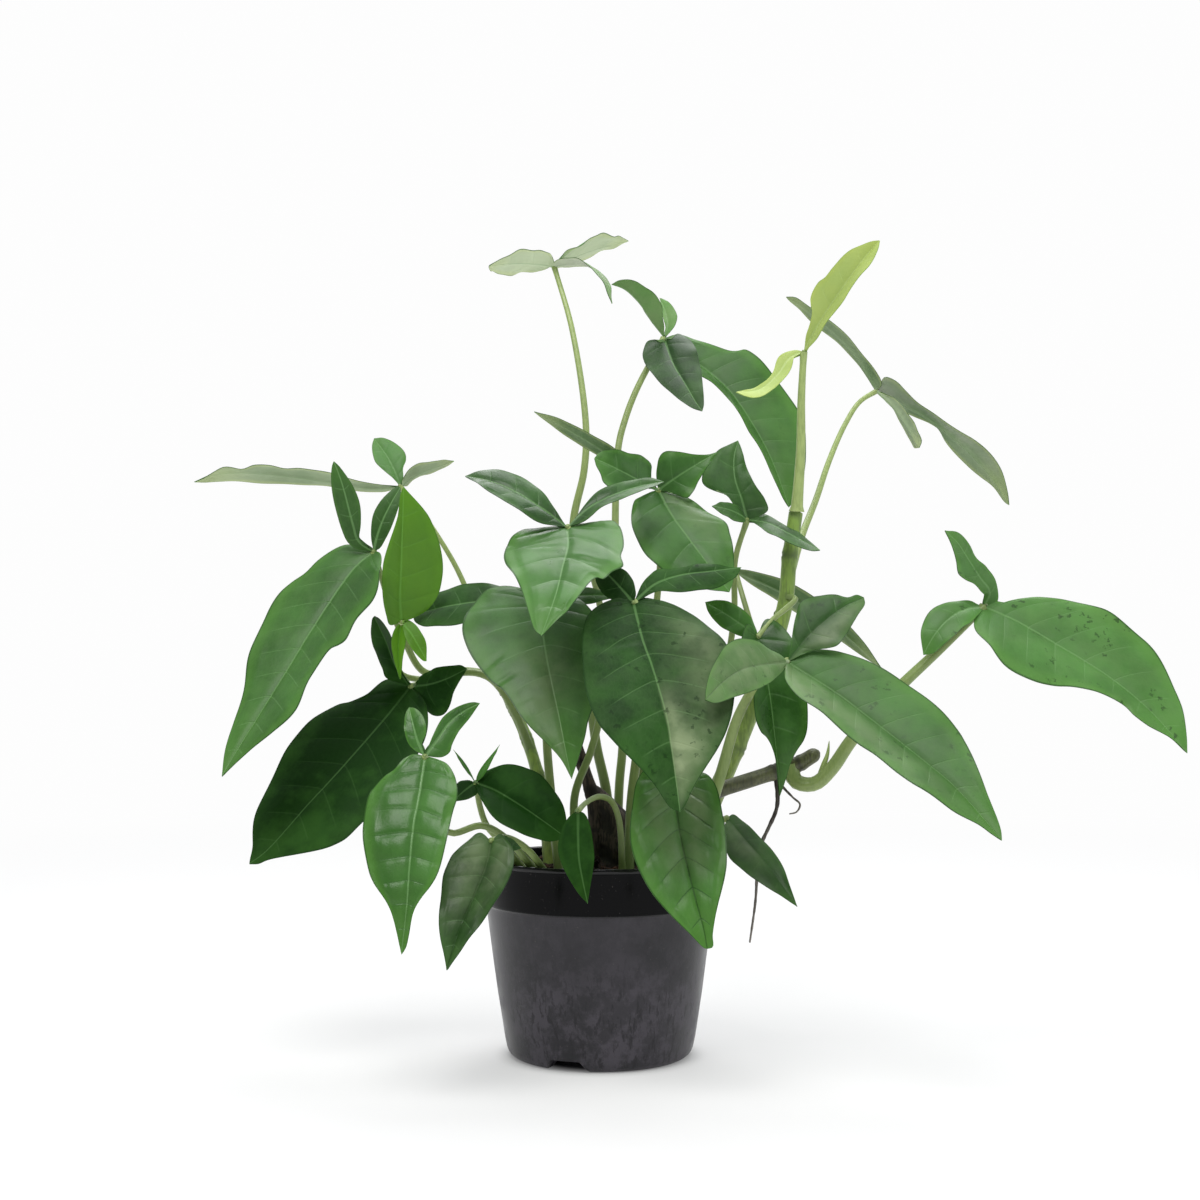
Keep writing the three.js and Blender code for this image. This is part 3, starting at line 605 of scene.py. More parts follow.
jointed_stem("vine_right_stem", "vine_right",
             [(50, 2, 94), (59, 2, 129), (71, 0, 157), (82, 0, 183), (92, 0, 208),
              (98, 0, 228), (103, 0, 248), (105, 0, 270), (109, 0, 298)],
             (5.6, 3.9), (0.18, 0.36, 0.53, 0.66, 0.88), vine_skin, 150, tip=0.8)
jointed_stem("vine_left_stem", "vine_left",
             [(-27, 8, 93), (-30, 10, 126), (-34, 12, 148), (-42, 16, 173), (-54, 22, 198)],
             (4, 3), (0.3, 0.52, 0.72, 0.9), vine_skin, 90)
jointed_stem("old_stem_cane", "old_stem",
             [(24, -9, 94), (31, -12, 127), (43, -16, 139), (63, -16, 144), (95, -16, 154),
              (107, -16, 158), (119, -16, 165)],
             (4.4, 4.0), (0.34, 0.55, 0.80, 0.9), old_skin, 110, tip=4.5)
jointed_stem("dry_stub", "dark_stem",
             [(-2, 0, 94), (-4, 0, 138), (-9, 0, 155), (-14, 0, 171)],
             (4, 3.2), (0.35, 0.62, 0.84), dry_skin, 70)

# The dry stub's foot: a dark knobbly stool, half buried, that the younger shoots crowd round.
STOOL_LOW, STOOL_HIGH = 14.5, 5.5  # its radius at the soil and at the top
STOOL_KNOBS = 0.13  # how far the knobs stand out, as a share of the radius
stool = hose("dry_stub_foot",
             [(9, 3, 95), (9, 3, 107), (8, 3, 118), (5, 3, 128), (-1, 2, 138), (-6, 1, 147)],
             lambda share, run: (STOOL_LOW + (STOOL_HIGH - STOOL_LOW) * share)
             * math.sqrt(max(0.02, 1 - share**5)), 40, 64)
places = corners(stool)
x, y, z = (places / MM).T
knobs = (np.sin(0.36 * x + 0.5) * np.sin(0.41 * y + 1.0) + 0.7 * np.sin(0.33 * z + 0.25 * x)
         + 0.5 * np.sin(0.9 * x + 0.6 * z) * np.sin(0.8 * y + 0.5 * z))
core = np.stack([np.interp(z, (95, 118, 138, 147), (9, 8, -1, -6)), np.full(len(z), 2.5), z], axis=1)
places += STOOL_KNOBS * (places - core * MM) * knobs[:, None]
stool.data.vertices.foreach_set("co", places.ravel())
# The hollows between the knobs take the darker scar colour.
paint(stool, "joint", np.clip(-knobs, 0, 1))
stool.data.materials.append(dry_skin)
bpy.ops.object.shade_smooth()
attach(stool, "root")
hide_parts("dark_stem")

# ------------------------------------------------------------------------------ aerial roots
# Thin brown roots that grow out of the old stem's underside and hang beside the pot. They
# thicken unevenly and dry to a wiry tip.
root_skin = stem_ink("aerial_root_brown", (0.024, 0.018, 0.014, 1), (0.30, 0.27, 0.24, 1),
                     (0.014, 0.010, 0.008, 1), 0.75, 0.6)
ROOT_WAVE = 0.13
for name, node, radii, route in [
    ("aerial_root_long_strand", "aerial_root_long", (1.25, 0.55),
     [(95, -16, 153), (96, -18, 139), (95, -18, 133), (91, -18, 124), (87, -18, 115),
      (85, -16, 100), (84, -16, 85), (81, -14, 62)]),
    ("aerial_root_short_strand", "aerial_root_short", (0.9, 0.42),
     [(97, -14, 154), (98, -9, 148), (105, -9, 140), (109, -10, 136), (107, -11, 132),
      (103, -12, 131)]),
]:
    low, high = radii
    strand = hose(name, route, lambda share, run: (low + (high - low) * share)
                  * (1 + ROOT_WAVE * math.sin(run * 0.9) * math.sin(run * 0.37 + 1)), 10, 70)
    paint(strand, "joint", 0.0)
    strand.data.materials.append(root_skin)
    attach(strand, "root")
    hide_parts(node)

# ---------------------------------------------------------------------- leaf stalks and leaves
# Each leaf is one growth: a round stalk, a small swollen joint and one to four leaflets, with
# a sunk midrib and side veins that bow towards the tip. Old leaves are dark and waxy, new ones
# thin and yellow-green. Undersides are pale, and the lower stalks clasp the stem they grow from.

# Where each leaf grows, in millimetres. A stalk runs through the places given and thins from
# its first radius to its last. A leaflet's rib goes on from the stalk's end, its face is the
# way that the blade looks and its halves fold up by so many degrees. Its right and left margins
# are places along the rib and off it; with no left one, the right one is mirrored. Some blades
# have side veins that run forward by another sweep or stand at another spacing, a paler tone, a
# rib painted dark as shade in its sunk crease, pale patches that are partly bleached by the sun
# and partly painted sheen (place across and along, width, height, strength) or dents (place
# along and off the rib, heading in degrees, length, depth).
leaves = {
    "01": dict(stalk=[(3, 14, 92), (4, 15, 137), (-2, 15, 167), (-6, 14, 198), (-14, 14, 260),
        (-15, 14, 293), (-9, 15, 322), (-8, 18, 348), (-16, 30, 405), (-27, 42, 446)],
        thick=(3.4, 1.6), leaflets=[
        dict(rib=[(-16.7, 49.1, 452.8), (-5.9, 56.1, 458.8), (5.3, 63.1, 463.8), (17, 70, 468)],
            face=(-0.47, 0.05, 0.88), fold=8,
            right=[(1.1, 5.3), (4, 10.3), (8.5, 14.5), (14.2, 17.2), (20.4, 18), (28.4, 16.9),
             (36.3, 13.9), (43.7, 9.8)],
            left=[(1.1, 4.7), (4, 9.1), (8.5, 12.9), (14.2, 15.3), (20.4, 16), (28.4, 15), (36.3, 12.4),
             (43.7, 8.7)]),
        dict(rib=[(-36.4, 35.2, 445.7), (-45.6, 28.3, 444.4), (-54.4, 21.2, 442.2), (-63, 14, 439)],
            face=(-0.3, 0.15, 0.94), fold=8,
            right=[(3.2, 5.1), (7, 8.8), (11.6, 11.9), (16.7, 14.1), (23.2, 15), (29.7, 14.1),
             (35.7, 11.4), (40.8, 7.5), (44.5, 3.4)]),
        dict(rib=[(-14.2, 29.8, 444.8), (-4.3, 18.7, 439.1), (2.8, 8.8, 428.8), (7, 0, 414)],
            face=(0.52, -0.21, 0.83), fold=8,
            bleach_and_sheen=[(0, 0.6, 2, 0.8, 1)],
            right=[(1.4, 2), (4.7, 4), (10.1, 5.7), (24.3, 7), (43.2, 5.4)]),
        ]),
    "02": dict(stalk=[(9, 24, 91), (11, 30, 144), (13, 34, 169), (10, 48, 227), (9, 62, 287),
        (11, 72, 343), (15, 76, 360), (22, 80, 379), (39, 86, 412)],
        thick=(3, 2), leaflets=[
        dict(rib=[(72.3, 75, 383.7), (81, 71.5, 373.4), (95.2, 64.2, 348.8), (101.9, 60, 333.9),
             (111, 52, 305)], face=(0.25, -0.86, 0.44), fold=20,
            right=[(23.2, 12.3), (35.5, 9.2), (43.2, 6.2), (51.4, 5.3), (61.8, 5.1), (82.9, 6.7),
             (92.6, 5.4), (120.5, 3.7), (130.5, 2.3)],
            left=[(5.4, 9.1), (35.5, 20.6), (38.7, 24.1), (40.9, 27.8), (46.6, 29.3), (59, 29.5),
             (72.9, 31.1), (81.9, 31), (92.4, 28.8), (102.9, 23.9), (123.8, 12.7), (132.2, 6.6)]),
        dict(rib=[(44.1, 63.9, 391.3), (50.5, 49.1, 376.7), (55.7, 38.8, 364.9), (59, 34, 359)],
            face=(-0.19, -0.74, 0.65), fold=12, pale=-0.42,
            right=[(4.7, 2.8), (1.3, 5.9), (0.9, 10.3), (8.9, 14.8), (17.4, 16.4), (37.4, 14.2),
             (56, 10.2), (72.4, 4.2)],
            left=[(4.5, 3.7), (-0.5, 8.7), (5.3, 12.6), (14, 15.5), (26.5, 16), (41, 13.7),
             (52.5, 10.5), (73.2, 3.3)]),
        dict(rib=[(31.7, 84, 420.9), (23.1, 80.4, 433), (15.1, 77.1, 439.6), (7, 74, 442)],
            face=(-0.53, -0.42, -0.74), fold=-30, pale=0.5,
            bleach_and_sheen=[(0, 0.5, 2, 1, 0.6)],
            right=[(8.5, 6.3), (18.7, 10.3), (26.5, 10.4), (39.2, 6.3), (44.2, 3.6)],
            left=[(6.5, 1.5), (21.1, 2.3), (34.1, 6.9)]),
        dict(rib=[(41.6, 89.2, 420.8), (40.1, 95.8, 431.5), (37, 104, 441)], face=(-0.35, -0.81, 0.48),
            fold=10, pale=0.55,
            bleach_and_sheen=[(0, 0.5, 2, 1, 0.5)],
            right=[(9.9, 5.3), (14.7, 6.4), (30.3, 3)],
            left=[(16.5, 2.6)]),
        ]),
    "03": dict(stalk=[(109, -2, 297), (111, -6, 331), (111, -10, 358), (112, -14, 384)],
        thick=(3.5, 1.9), leaflets=[
        dict(rib=[(116.5, -19.2, 392.7), (120.9, -23.7, 400.6), (129.7, -31.2, 413.7),
             (139.5, -38.4, 427.2), (149, -44, 438)], face=(-0.77, -0.61, 0.19), fold=28,
            right=[(6.6, 5.9), (14.3, 10), (29.4, 11.4), (37.1, 13.4), (44.8, 12.1), (58.3, 13.7),
             (64, 10.7), (69.3, 6.3)],
            left=[(7.5, 3.2), (14.3, 4.6), (20.8, 7), (25.5, 12.7), (29.9, 14.8), (34.9, 15),
             (39.4, 13), (45.5, 12.6), (58.4, 10.1), (64.7, 6.7), (69.4, 3.2)]),
        dict(rib=[(104.1, -16.8, 380), (97, -21.4, 370.3), (86.5, -28, 360.9), (73, -36, 358)],
            face=(-0.05, -0.72, 0.69), fold=15,
            right=[(2.6, 3), (8, 4.8), (12.7, 5.4), (26, 2.7), (39.4, 2.6)],
            left=[(5.9, 1.2), (14.7, 4.7), (34.8, 6), (42.4, 7.8), (49.3, 7.9), (52.7, 4.8)]),
        ]),
    "04": dict(stalk=[(100, 4, 240), (108, 26, 261), (119, 56, 289), (130, 78, 312), (141, 96, 339),
        (152, 106, 362), (162, 110, 377), (173, 110, 384)],
        thick=(2.8, 1.6), leaflets=[
        dict(rib=[(189.8, 108.7, 374.7), (205, 107, 365.6), (228.7, 103, 343.9), (240.2, 100.1, 329.8),
             (251, 96, 311)], face=(0.66, 0.41, 0.63), fold=19,
            bleach_and_sheen=[(0, 0.1, 1, 0.12, 0.9), (0.6, 0.5, 0.35, 0.3, 0.6)],
            right=[(0.1, 12.4), (6.7, 13.2), (15, 9.9), (25.5, 6.9), (34.1, 6.1), (45.2, 6),
             (56.1, 7.6), (66.6, 10.3), (76.4, 11.9), (85.1, 11), (103.7, 4.1)],
            left=[(10.4, 9.4), (28, 7.2), (38.3, 4.6), (44.5, 4.5), (52.4, 11.5), (61.8, 14.9),
             (72.9, 14.5), (84.6, 10.9), (96.1, 5.6), (106.6, 3.3)]),
        dict(rib=[(162.9, 106.3, 400.6), (150.5, 101.9, 414.1), (135.7, 96.6, 425.4),
             (124.1, 92, 433.1), (114, 88, 438)], face=(0.52, 0.42, 0.74), fold=10,
            right=[(5, 1.7), (46.6, 6.8), (56.9, 7.4), (74.1, 4), (80.5, 2.2)],
            left=[(3.3, 6.4), (23.1, 4.9), (43.6, 5.8), (72.3, 3.7), (80.7, 3.8)]),
        dict(rib=[(181.7, 98, 371.1), (187.4, 86, 356.9), (192, 74, 343)], face=(0.94, 0.2, 0.27),
            fold=16, pale=0.25,
            right=[(15, 5.1), (27.9, 7.5), (40.2, 8), (50.5, 7.1), (58, 5.6)],
            left=[(12.6, 0.5), (20.7, 3.6), (30.5, 6.3), (39.8, 8.2), (47.9, 8.6)]),
        ]),
    "05": dict(stalk=[(103, -16, 156), (106, -20, 149), (115, -24, 148), (124, -26, 156),
        (135, -28, 172), (159, -32, 199), (181, -34, 220), (205, -34, 243)],
        thick=(4.6, 2.4), leaflets=[
        dict(rib=[(220.3, -38.8, 235.6), (237.1, -44.9, 224.8), (264.8, -56.8, 205.3),
             (282.1, -66.5, 188.4), (297, -78, 167)], face=(0.1, -0.8, 0.59), fold=14,
            right=[(-1.4, 7.4), (-0.6, 14.5), (2.7, 21.3), (9.6, 26.7), (26.6, 35.3), (42.3, 35.1),
             (48.8, 33.7), (56, 29.7), (62.5, 24.1), (69.9, 19.7), (89.4, 9.9), (98.5, 10.6),
             (107.6, 9.3), (119.3, 2.1)],
            left=[(2.9, 5.7), (7.8, 7.6), (11.7, 10.6), (14.3, 14.6), (19.7, 20.3), (25.7, 24.5),
             (32.1, 28.5), (47.1, 34), (54.8, 35.5), (71.7, 33.6), (79.7, 31.5), (113.8, 11.1),
             (123.4, 4.8)]),
        dict(rib=[(207.6, -36.8, 250.5), (201.8, -39.3, 258.4), (195.7, -41.1, 267.3),
             (189.7, -42, 276.3), (183, -42, 283)], face=(0.53, -0.84, 0.12), fold=5,
            right=[(4.8, 6.6), (8.2, 6.6), (11.7, 8), (18.9, 8.6), (26.3, 5.6), (33.8, 6.6),
             (39.9, 6.3), (45.1, 4.4)],
            left=[(3.1, 2.6), (12.5, 5.2), (17.9, 5.9), (23.2, 9.8), (27.9, 11.6), (32.8, 7.8),
             (39.4, 5.6)]),
        dict(rib=[(194.2, -39.4, 241.4), (184.8, -43.3, 236.5), (176.3, -45.9, 227.9), (170, -46, 217)],
            face=(-0.14, -0.81, 0.57), fold=10,
            right=[(7.9, 4.8), (19, 8.9), (25.4, 10.3), (31.5, 9.9), (37.7, 7.6)],
            left=[(7.1, 5.4), (16.8, 9.3), (24.4, 9.4), (32.7, 8.8), (40.1, 6.9), (45.3, 4.8)]),
        ]),
    "06": dict(stalk=[(-9, -22, 96), (-14, -14, 139), (-5, -8, 165), (0, -6, 185), (2, -10, 226),
        (-4, -30, 260), (-17, -62, 283)],
        thick=(2.6, 1.8), leaflets=[
        dict(rib=[(-16.3, -75.5, 272.5), (-18.6, -89.4, 261.4), (-21.2, -104.5, 248),
             (-24.7, -116.9, 235.7), (-28, -126, 225)], face=(-0.04, -0.67, 0.74), fold=6,
            dents=[(20, 10, 80, 9, 0.5), (30, -10, -75, 8, 0.6)],
            right=[(-2.4, 11.6), (-2.3, 18.4), (0.7, 24.6), (8, 30), (24.1, 31.9), (31.8, 31),
             (46.5, 22.7), (72, 10.9), (84.7, 4.1)],
            left=[(-2.4, 5.2), (-3.3, 18.8), (-4.8, 23.6), (0.3, 26.5), (16.8, 28.7), (23.8, 28),
             (33.1, 30.3), (37.7, 25.2), (43.9, 21.4), (43.4, 18.3), (62.8, 10.6), (70.4, 8.3),
             (76.5, 4.8)]),
        dict(rib=[(-28.5, -63.2, 291.7), (-44.2, -61, 301.8), (-58.5, -56, 308.1), (-71, -50, 311)],
            face=(0.2, -0.7, 0.69), fold=10, pale=-0.36,
            right=[(19.9, 9.1), (27.7, 11.3), (44.5, 11.4), (51.6, 10.5), (57.8, 7.5)],
            left=[(7, 6.6), (12.5, 10.5), (17.6, 11.6), (30.8, 11.6), (39.2, 10.5), (48.7, 7.8)]),
        dict(rib=[(-5.2, -58.7, 293.7), (7.9, -54.1, 301), (21.1, -48.4, 305.9), (34, -42, 309)],
            face=(-0.09, -0.7, 0.71), fold=16, pale=-0.3,
            right=[(7.6, 5.9), (12.9, 6.6), (19.2, 5.7), (34.3, 6.6), (52.2, 4.1)],
            left=[(9.1, 1.4), (26.8, 6.8), (48.8, 5.4), (56.7, 4.2)]),
        ]),
    "07": dict(stalk=[(-21, -30, 97), (-26, -24, 139), (-29, -18, 177), (-28, -12, 204),
        (-27, -14, 226), (-30, -40, 246)],
        thick=(3, 2), leaflets=[
        dict(rib=[(-29.7, -55, 229.8), (-27.2, -68.1, 214), (-20, -88.2, 182.8), (-16.9, -94.4, 168.1),
             (-14, -98, 155)], face=(-0.21, -0.84, 0.5), fold=16,
            bleach_and_sheen=[(0.4, 0.82, 0.8, 0.16, 0.35), (0, 0.66, 0.5, 0.12, 0.4)],
            dents=[(50, 24, 70, 7, 1), (38, 27, 60, 6, 0.8), (64, 12, 80, 6, 0.5)],
            right=[(-10.3, 13), (-12.6, 24.2), (-10.1, 32.3), (1, 39), (11, 42.3), (19.3, 43),
             (26.4, 41.5), (33.6, 38.9), (48.7, 31.2), (55.9, 25.5), (72.2, 19.4), (80.2, 15.6),
             (99.3, 3.6)],
            left=[(-1.9, 11.5), (10.9, 23.9), (30.9, 31.8), (47.5, 33.2), (61.1, 30.8), (71.9, 25.5),
             (79.4, 18.8), (85.4, 14.6), (92.3, 11.5)]),
        dict(rib=[(-49.1, -36.7, 246.6), (-67.5, -31.6, 245.6), (-85.1, -24.7, 243.1),
             (-102, -16, 239)], face=(-0.3, -0.73, 0.62), fold=8, pale=-0.2,
            right=[(11.6, 5.6), (27.7, 11.2), (38.5, 13.4), (49.3, 14), (59.3, 12.8), (67.8, 9.8),
             (74, 5.5)],
            left=[(11.6, 6), (27.7, 12), (38.5, 14.3), (49.3, 15), (59.3, 13.7), (67.8, 10.5),
             (74, 5.9)]),
        dict(rib=[(-20.5, -42.7, 247.4), (-10.8, -44.6, 248.2), (-1, -45.7, 248.4), (9, -46, 248)],
            face=(-0.15, -0.79, 0.6), fold=8,
            right=[(2.8, 3.5), (6, 5.2), (14.3, 7), (25.5, 5.8), (35, 2.5)],
            left=[(2.8, 3), (6, 4.5), (14.3, 6), (25.5, 5)]),
        ]),
    "08": dict(stalk=[(15, -26, 97), (17, -20, 139), (22, -14, 177), (26, -16, 209), (24, -40, 230),
        (17, -78, 243)],
        thick=(3.2, 2.2), leaflets=[
        dict(rib=[(21.3, -96.1, 223.6), (25.4, -107.3, 211.1), (32, -127, 185.7), (33.9, -135.9, 171.8),
             (37, -150, 143)], face=(0.05, -0.81, 0.59), fold=13,
            bleach_and_sheen=[(-0.3, 0.84, 0.5, 0.1, 1.4), (-0.08, 0.71, 0.16, 0.08, 0.6),
             (-0.7, 0.5, 0.34, 0.24, 0.5)],
            dents=[(74, -13, -62, 9, 0.9), (30, 14, 80, 12, 0.5), (44, -18, -75, 10, 0.5)],
            right=[(-3.5, 5.5), (-1.4, 13.3), (2.3, 20.2), (8.2, 25.3), (15.9, 28.6), (31.7, 33),
             (44, 35.5), (56.8, 36.8), (75, 35.2), (83.6, 32.8), (106.2, 14.8), (112.3, 10.6),
             (123.9, 4.2)],
            left=[(-2.2, 5.4), (0, 11.4), (3.5, 17.5), (9.2, 23.7), (15.7, 29.3), (22.3, 33.2),
             (33.4, 36.8), (41.9, 39.2), (49.8, 39.7), (58.8, 38.7), (68.6, 35.9), (77.4, 32.6),
             (85.9, 28.3), (94.9, 23.1), (113.5, 8.6), (123.3, 2.6)]),
        dict(rib=[(12, -75.9, 249), (7.3, -72.6, 254.4), (3, -67.9, 259), (-1, -62, 263)],
            face=(-0.24, -0.85, 0.46), fold=10, pale=-0.1,
            right=[(2.2, 3.3), (8, 6.9), (11.5, 7.8), (16, 7.9), (24.7, 5.5)],
            left=[(2.2, 3.7), (4.8, 6), (11.5, 8.8), (16, 8.9), (20.5, 8), (24.7, 6.2)]),
        dict(rib=[(28, -76.3, 252.6), (40.8, -73.8, 257.3), (56.4, -69.6, 259.6), (73, -64, 262)],
            face=(-0.01, -0.79, 0.62), fold=5, pale=0.05,
            right=[(11.8, 3.9), (27.1, 11.4), (35.9, 11.8), (43.9, 11.6), (51.7, 8.8), (58, 5.6)],
            left=[(14.5, 6.7), (19.7, 8.3), (25.4, 5.7), (33, 4.8), (41.7, 6.5), (49.5, 4.5),
             (56.7, 1.1)]),
        ]),
    "09": dict(stalk=[(22, 8, 93), (22, 12, 148), (28, 14, 193), (31, 14, 237), (34, 8, 276),
        (32, -12, 308)],
        thick=(2.8, 1.8), leaflets=[
        dict(rib=[(39, -24.2, 292.9), (45.6, -32.3, 282.4), (53.1, -39.8, 271.1), (60.6, -45.8, 260.1),
             (68, -50, 250)], face=(0.06, -0.82, 0.57), fold=7,
            bleach_and_sheen=[(-0.5, 0.4, 0.4, 0.25, 0.4)],
            right=[(0.9, 8.2), (3.9, 14.6), (10.6, 19.3), (19.9, 23.5), (36.2, 26.4), (43.3, 26.5),
             (51.5, 24.2), (59.3, 19.4), (66.6, 13.9), (73.2, 7.7)],
            left=[(4.3, 8.2), (12.8, 13.9), (38, 23.7), (47.7, 21.2), (67.8, 11.8), (74.9, 5.2)]),
        dict(rib=[(19.1, -19.3, 313.6), (6.5, -23.2, 319.7), (-3, -24, 324)], face=(0.44, -0.83, 0.34),
            fold=10,
            right=[(5.1, 3.9), (6.5, 12.4), (12.4, 14.9), (18.9, 14.7), (33.9, 9.6), (39.5, 5.1)],
            left=[(9, 2.5), (22.8, 10), (27.4, 14.6), (31.3, 12.7), (34.2, 8.5), (38.5, 4.2)]),
        dict(rib=[(41, -16.1, 314), (52.9, -18.6, 321.4), (64, -18, 328)], face=(-0.25, -0.96, 0.11),
            fold=12,
            right=[(6.1, 6.4), (12.3, 14.3), (16.2, 13), (21.2, 9.5)],
            left=[(1.8, 5.3), (5.9, 10.6), (10.5, 14.8), (15.1, 15.7), (29.8, 3.5)]),
        dict(rib=[(16, -11.2, 320.3), (-0.7, -11.3, 331.6), (-18, -12.2, 341.8), (-36, -14, 351)],
            face=(0.43, 0.57, 0.7), fold=10,
            right=[(5.7, 2.4), (20.2, 5.6), (40.4, 7), (51.7, 6.6), (62.2, 5.3), (71.1, 3.5)],
            left=[(5.7, 2), (20.2, 4.8), (40.4, 6), (62.2, 4.6), (71.1, 3)]),
        ]),
    "10": dict(stalk=[(38, 24, 91), (51, 30, 141), (68, 34, 192), (76, 24, 238), (76, 12, 271),
        (82, 3, 293)],
        thick=(2.6, 1.7), leaflets=[
        dict(rib=[(79.3, 4, 304.1), (75.6, 6.6, 316.7), (75.4, 10, 328.4), (78, 14, 339)],
            face=(-0.09, -0.97, 0.22), fold=10, pale=-0.05,
            right=[(-0.1, 6.3), (2.4, 12.7), (8.7, 12.6), (15.1, 10.1), (25, 8.7), (34.6, 6.4),
             (43, 3.6)],
            left=[(5.4, 4), (15.6, 7.1), (20.8, 11.1), (23.2, 16.6), (25.8, 18.8), (40.4, 9.2)]),
        dict(rib=[(92.8, -5.4, 290.3), (103.9, -14.1, 283.5), (119, -24, 274)], face=(-0.03, -0.6, 0.8),
            fold=10,
            right=[(17.9, 7.6), (28.6, 7.5), (39.7, 6.3), (47.7, 4.3)],
            left=[(0.2, 7.9), (18.5, 4.7), (29.4, 4.7), (41.4, 2.5)]),
        dict(rib=[(77.7, 0.2, 295.6), (72.9, -1.9, 297.6), (67.7, -3.3, 299.1), (62, -4, 300)],
            face=(0.44, -0.7, 0.57), fold=8,
            right=[(3.4, 4), (5.7, 5.2), (11.4, 6), (17.5, 4.1)],
            left=[(3.4, 4.7), (8.2, 6.8), (11.4, 6.9), (17.5, 4.8)]),
        ]),
    "11": dict(stalk=[(45, -30, 97), (59, -32, 137), (65, -32, 156), (72, -36, 181), (77, -42, 193),
        (84, -60, 206), (95, -80, 213)],
        thick=(4.2, 2.2), leaflets=[
        dict(rib=[(119.6, -91.7, 196.3), (131, -98, 187), (159.4, -115.6, 162.8), (169.8, -123, 153.1),
             (188, -140, 129)], face=(0.16, -0.71, 0.69), fold=26,
            bleach_and_sheen=[(0.6, 0.22, 0.5, 0.22, 0.6), (0.55, 0.58, 0.4, 0.2, 0.3)],
            right=[(3.7, 10.7), (8.8, 19.4), (15.1, 24.7), (22.1, 28.6), (32.6, 29.6), (62.8, 29.5),
             (71.3, 27.9), (87.9, 28.7), (101.1, 27.5), (117.2, 18.5), (129.6, 6.9), (135.6, 3.6)],
            left=[(0.3, 7.8), (13.1, 19.1), (20, 22.3), (58, 29.5), (72.3, 28.9), (86.2, 25.2),
             (94, 21.7), (105.7, 15.1), (135.6, 3)]),
        dict(rib=[(81.7, -97.7, 211.7), (70.6, -111.6, 209.6), (59.8, -125.4, 203.8),
             (49.6, -139, 194.5)], face=(0.61, -0.62, 0.48), fold=8, dark_rib=1,
            bleach_and_sheen=[(0, 0.45, 1.3, 0.7, 0.65)],
            right=[(3.8, 4.7), (17.3, 11.7), (26, 14.6), (34.4, 15.4), (42.5, 14.5), (49.9, 12.5),
             (73.4, 3.1)],
            left=[(9.4, 5), (19.4, 8.4), (28.9, 11), (40.5, 12.2), (60.8, 9.4), (74.6, 4.3)]),
        dict(rib=[(103.8, -79.5, 224), (114.2, -77.7, 233.7), (124.8, -75, 241.4), (135, -72, 246)],
            face=(-0.14, -0.91, 0.39), fold=8, pale=-0.22, dark_rib=1,
            bleach_and_sheen=[(0.5, 0.5, 0.45, 0.5, 0.6)],
            right=[(13.2, 7.5), (18.6, 11.9), (23.6, 14.4), (37.3, 10.9), (46.8, 6.8), (51.7, 3.7)],
            left=[(7.8, 4), (20.7, 12.8), (27, 16.2), (36.9, 12), (41.8, 8.5), (46, 3.7), (50.9, 2.8)]),
        ]),
    "12": dict(stalk=[(-54, 22, 197), (-63, 32, 206), (-76, 35, 209), (-100, 32, 208), (-111, 24, 226),
        (-118, 8, 248), (-124, -12, 274)],
        thick=(2.6, 1.7), leaflets=[
        dict(rib=[(-133.3, -17.5, 265.2), (-154.4, -35.6, 229.3), (-164.2, -45.2, 210.1),
             (-184.6, -65.8, 170.5), (-192, -74, 155)], face=(-0.37, -0.72, 0.59), fold=16,
            bleach_and_sheen=[(0, 0.1, 0.12, 0.06, 0.8)],
            right=[(1.6, 8.4), (5.6, 17.2), (17.9, 23), (27.3, 26), (35.3, 30.7), (42.1, 33),
             (51.7, 33.4), (62, 31.8), (82, 26.7), (102.5, 17.8), (134.3, 7.9)],
            left=[(-0.9, 4.4), (6.2, 16.9), (17, 25.5), (26.9, 31.7), (35.4, 33.3), (48, 29.8),
             (62.7, 32.1), (66.4, 29), (69.3, 24.6), (87.4, 23.6), (108.1, 26.1), (122.5, 18.8),
             (135.2, 9.1)]),
        dict(rib=[(-132, -16.5, 280), (-134.3, -19.5, 287.9), (-139.1, -24.5, 308.1),
             (-141.7, -25.6, 316.1), (-144, -26, 322)], face=(0.08, -0.97, -0.25), fold=10, pale=-0.15,
            right=[(8.2, 0.4), (21.5, 5), (29.7, 6.6), (38.1, 5.9), (53.2, 1.4)],
            left=[(13.3, 5.8), (25.5, 6.9), (40.1, 6.5), (47.9, 4.7), (53.9, 1.9)]),
        dict(rib=[(-122.7, -12.6, 280.3), (-119.5, -12.4, 290.2), (-115.3, -11, 299.7),
             (-110, -8, 310)], face=(-0.02, -0.99, 0.12), fold=8, pale=-0.25,
            right=[(2.6, 3.2), (7.8, 4.9), (15.5, 6), (25.4, 5.3), (34.3, 3.2)],
            left=[(8.4, 3.4), (21.5, 6.3), (38.2, 2.2)]),
        ]),
    "13": dict(stalk=[(-46, 18, 181), (-53, 36, 199), (-70, 48, 237), (-83, 54, 267), (-94, 56, 286),
        (-107, 57, 305), (-118, 56, 318)],
        thick=(2.2, 1.4), leaflets=[
        dict(rib=[(-135.1, 52.3, 316.9), (-157.7, 47, 319.8), (-202.1, 35.3, 323.7),
             (-221, 29.7, 321.8), (-232, 26, 317)], face=(-0.09, 0.32, 0.94), fold=2,
            right=[(6.8, 5.1), (17, 5.7), (34.4, 4.9), (57.3, 8.9), (80.4, 10.6), (92.1, 10.3),
             (104, 8.8), (112.7, 5.6)],
            left=[(18.1, 6.5), (35, 9), (42.4, 12.4), (49.6, 14.4), (60, 15.2), (68.1, 10.8),
             (76.7, 12.9), (85, 11.1), (91.8, 4.4), (102.1, 10.5), (111, 1.6)]),
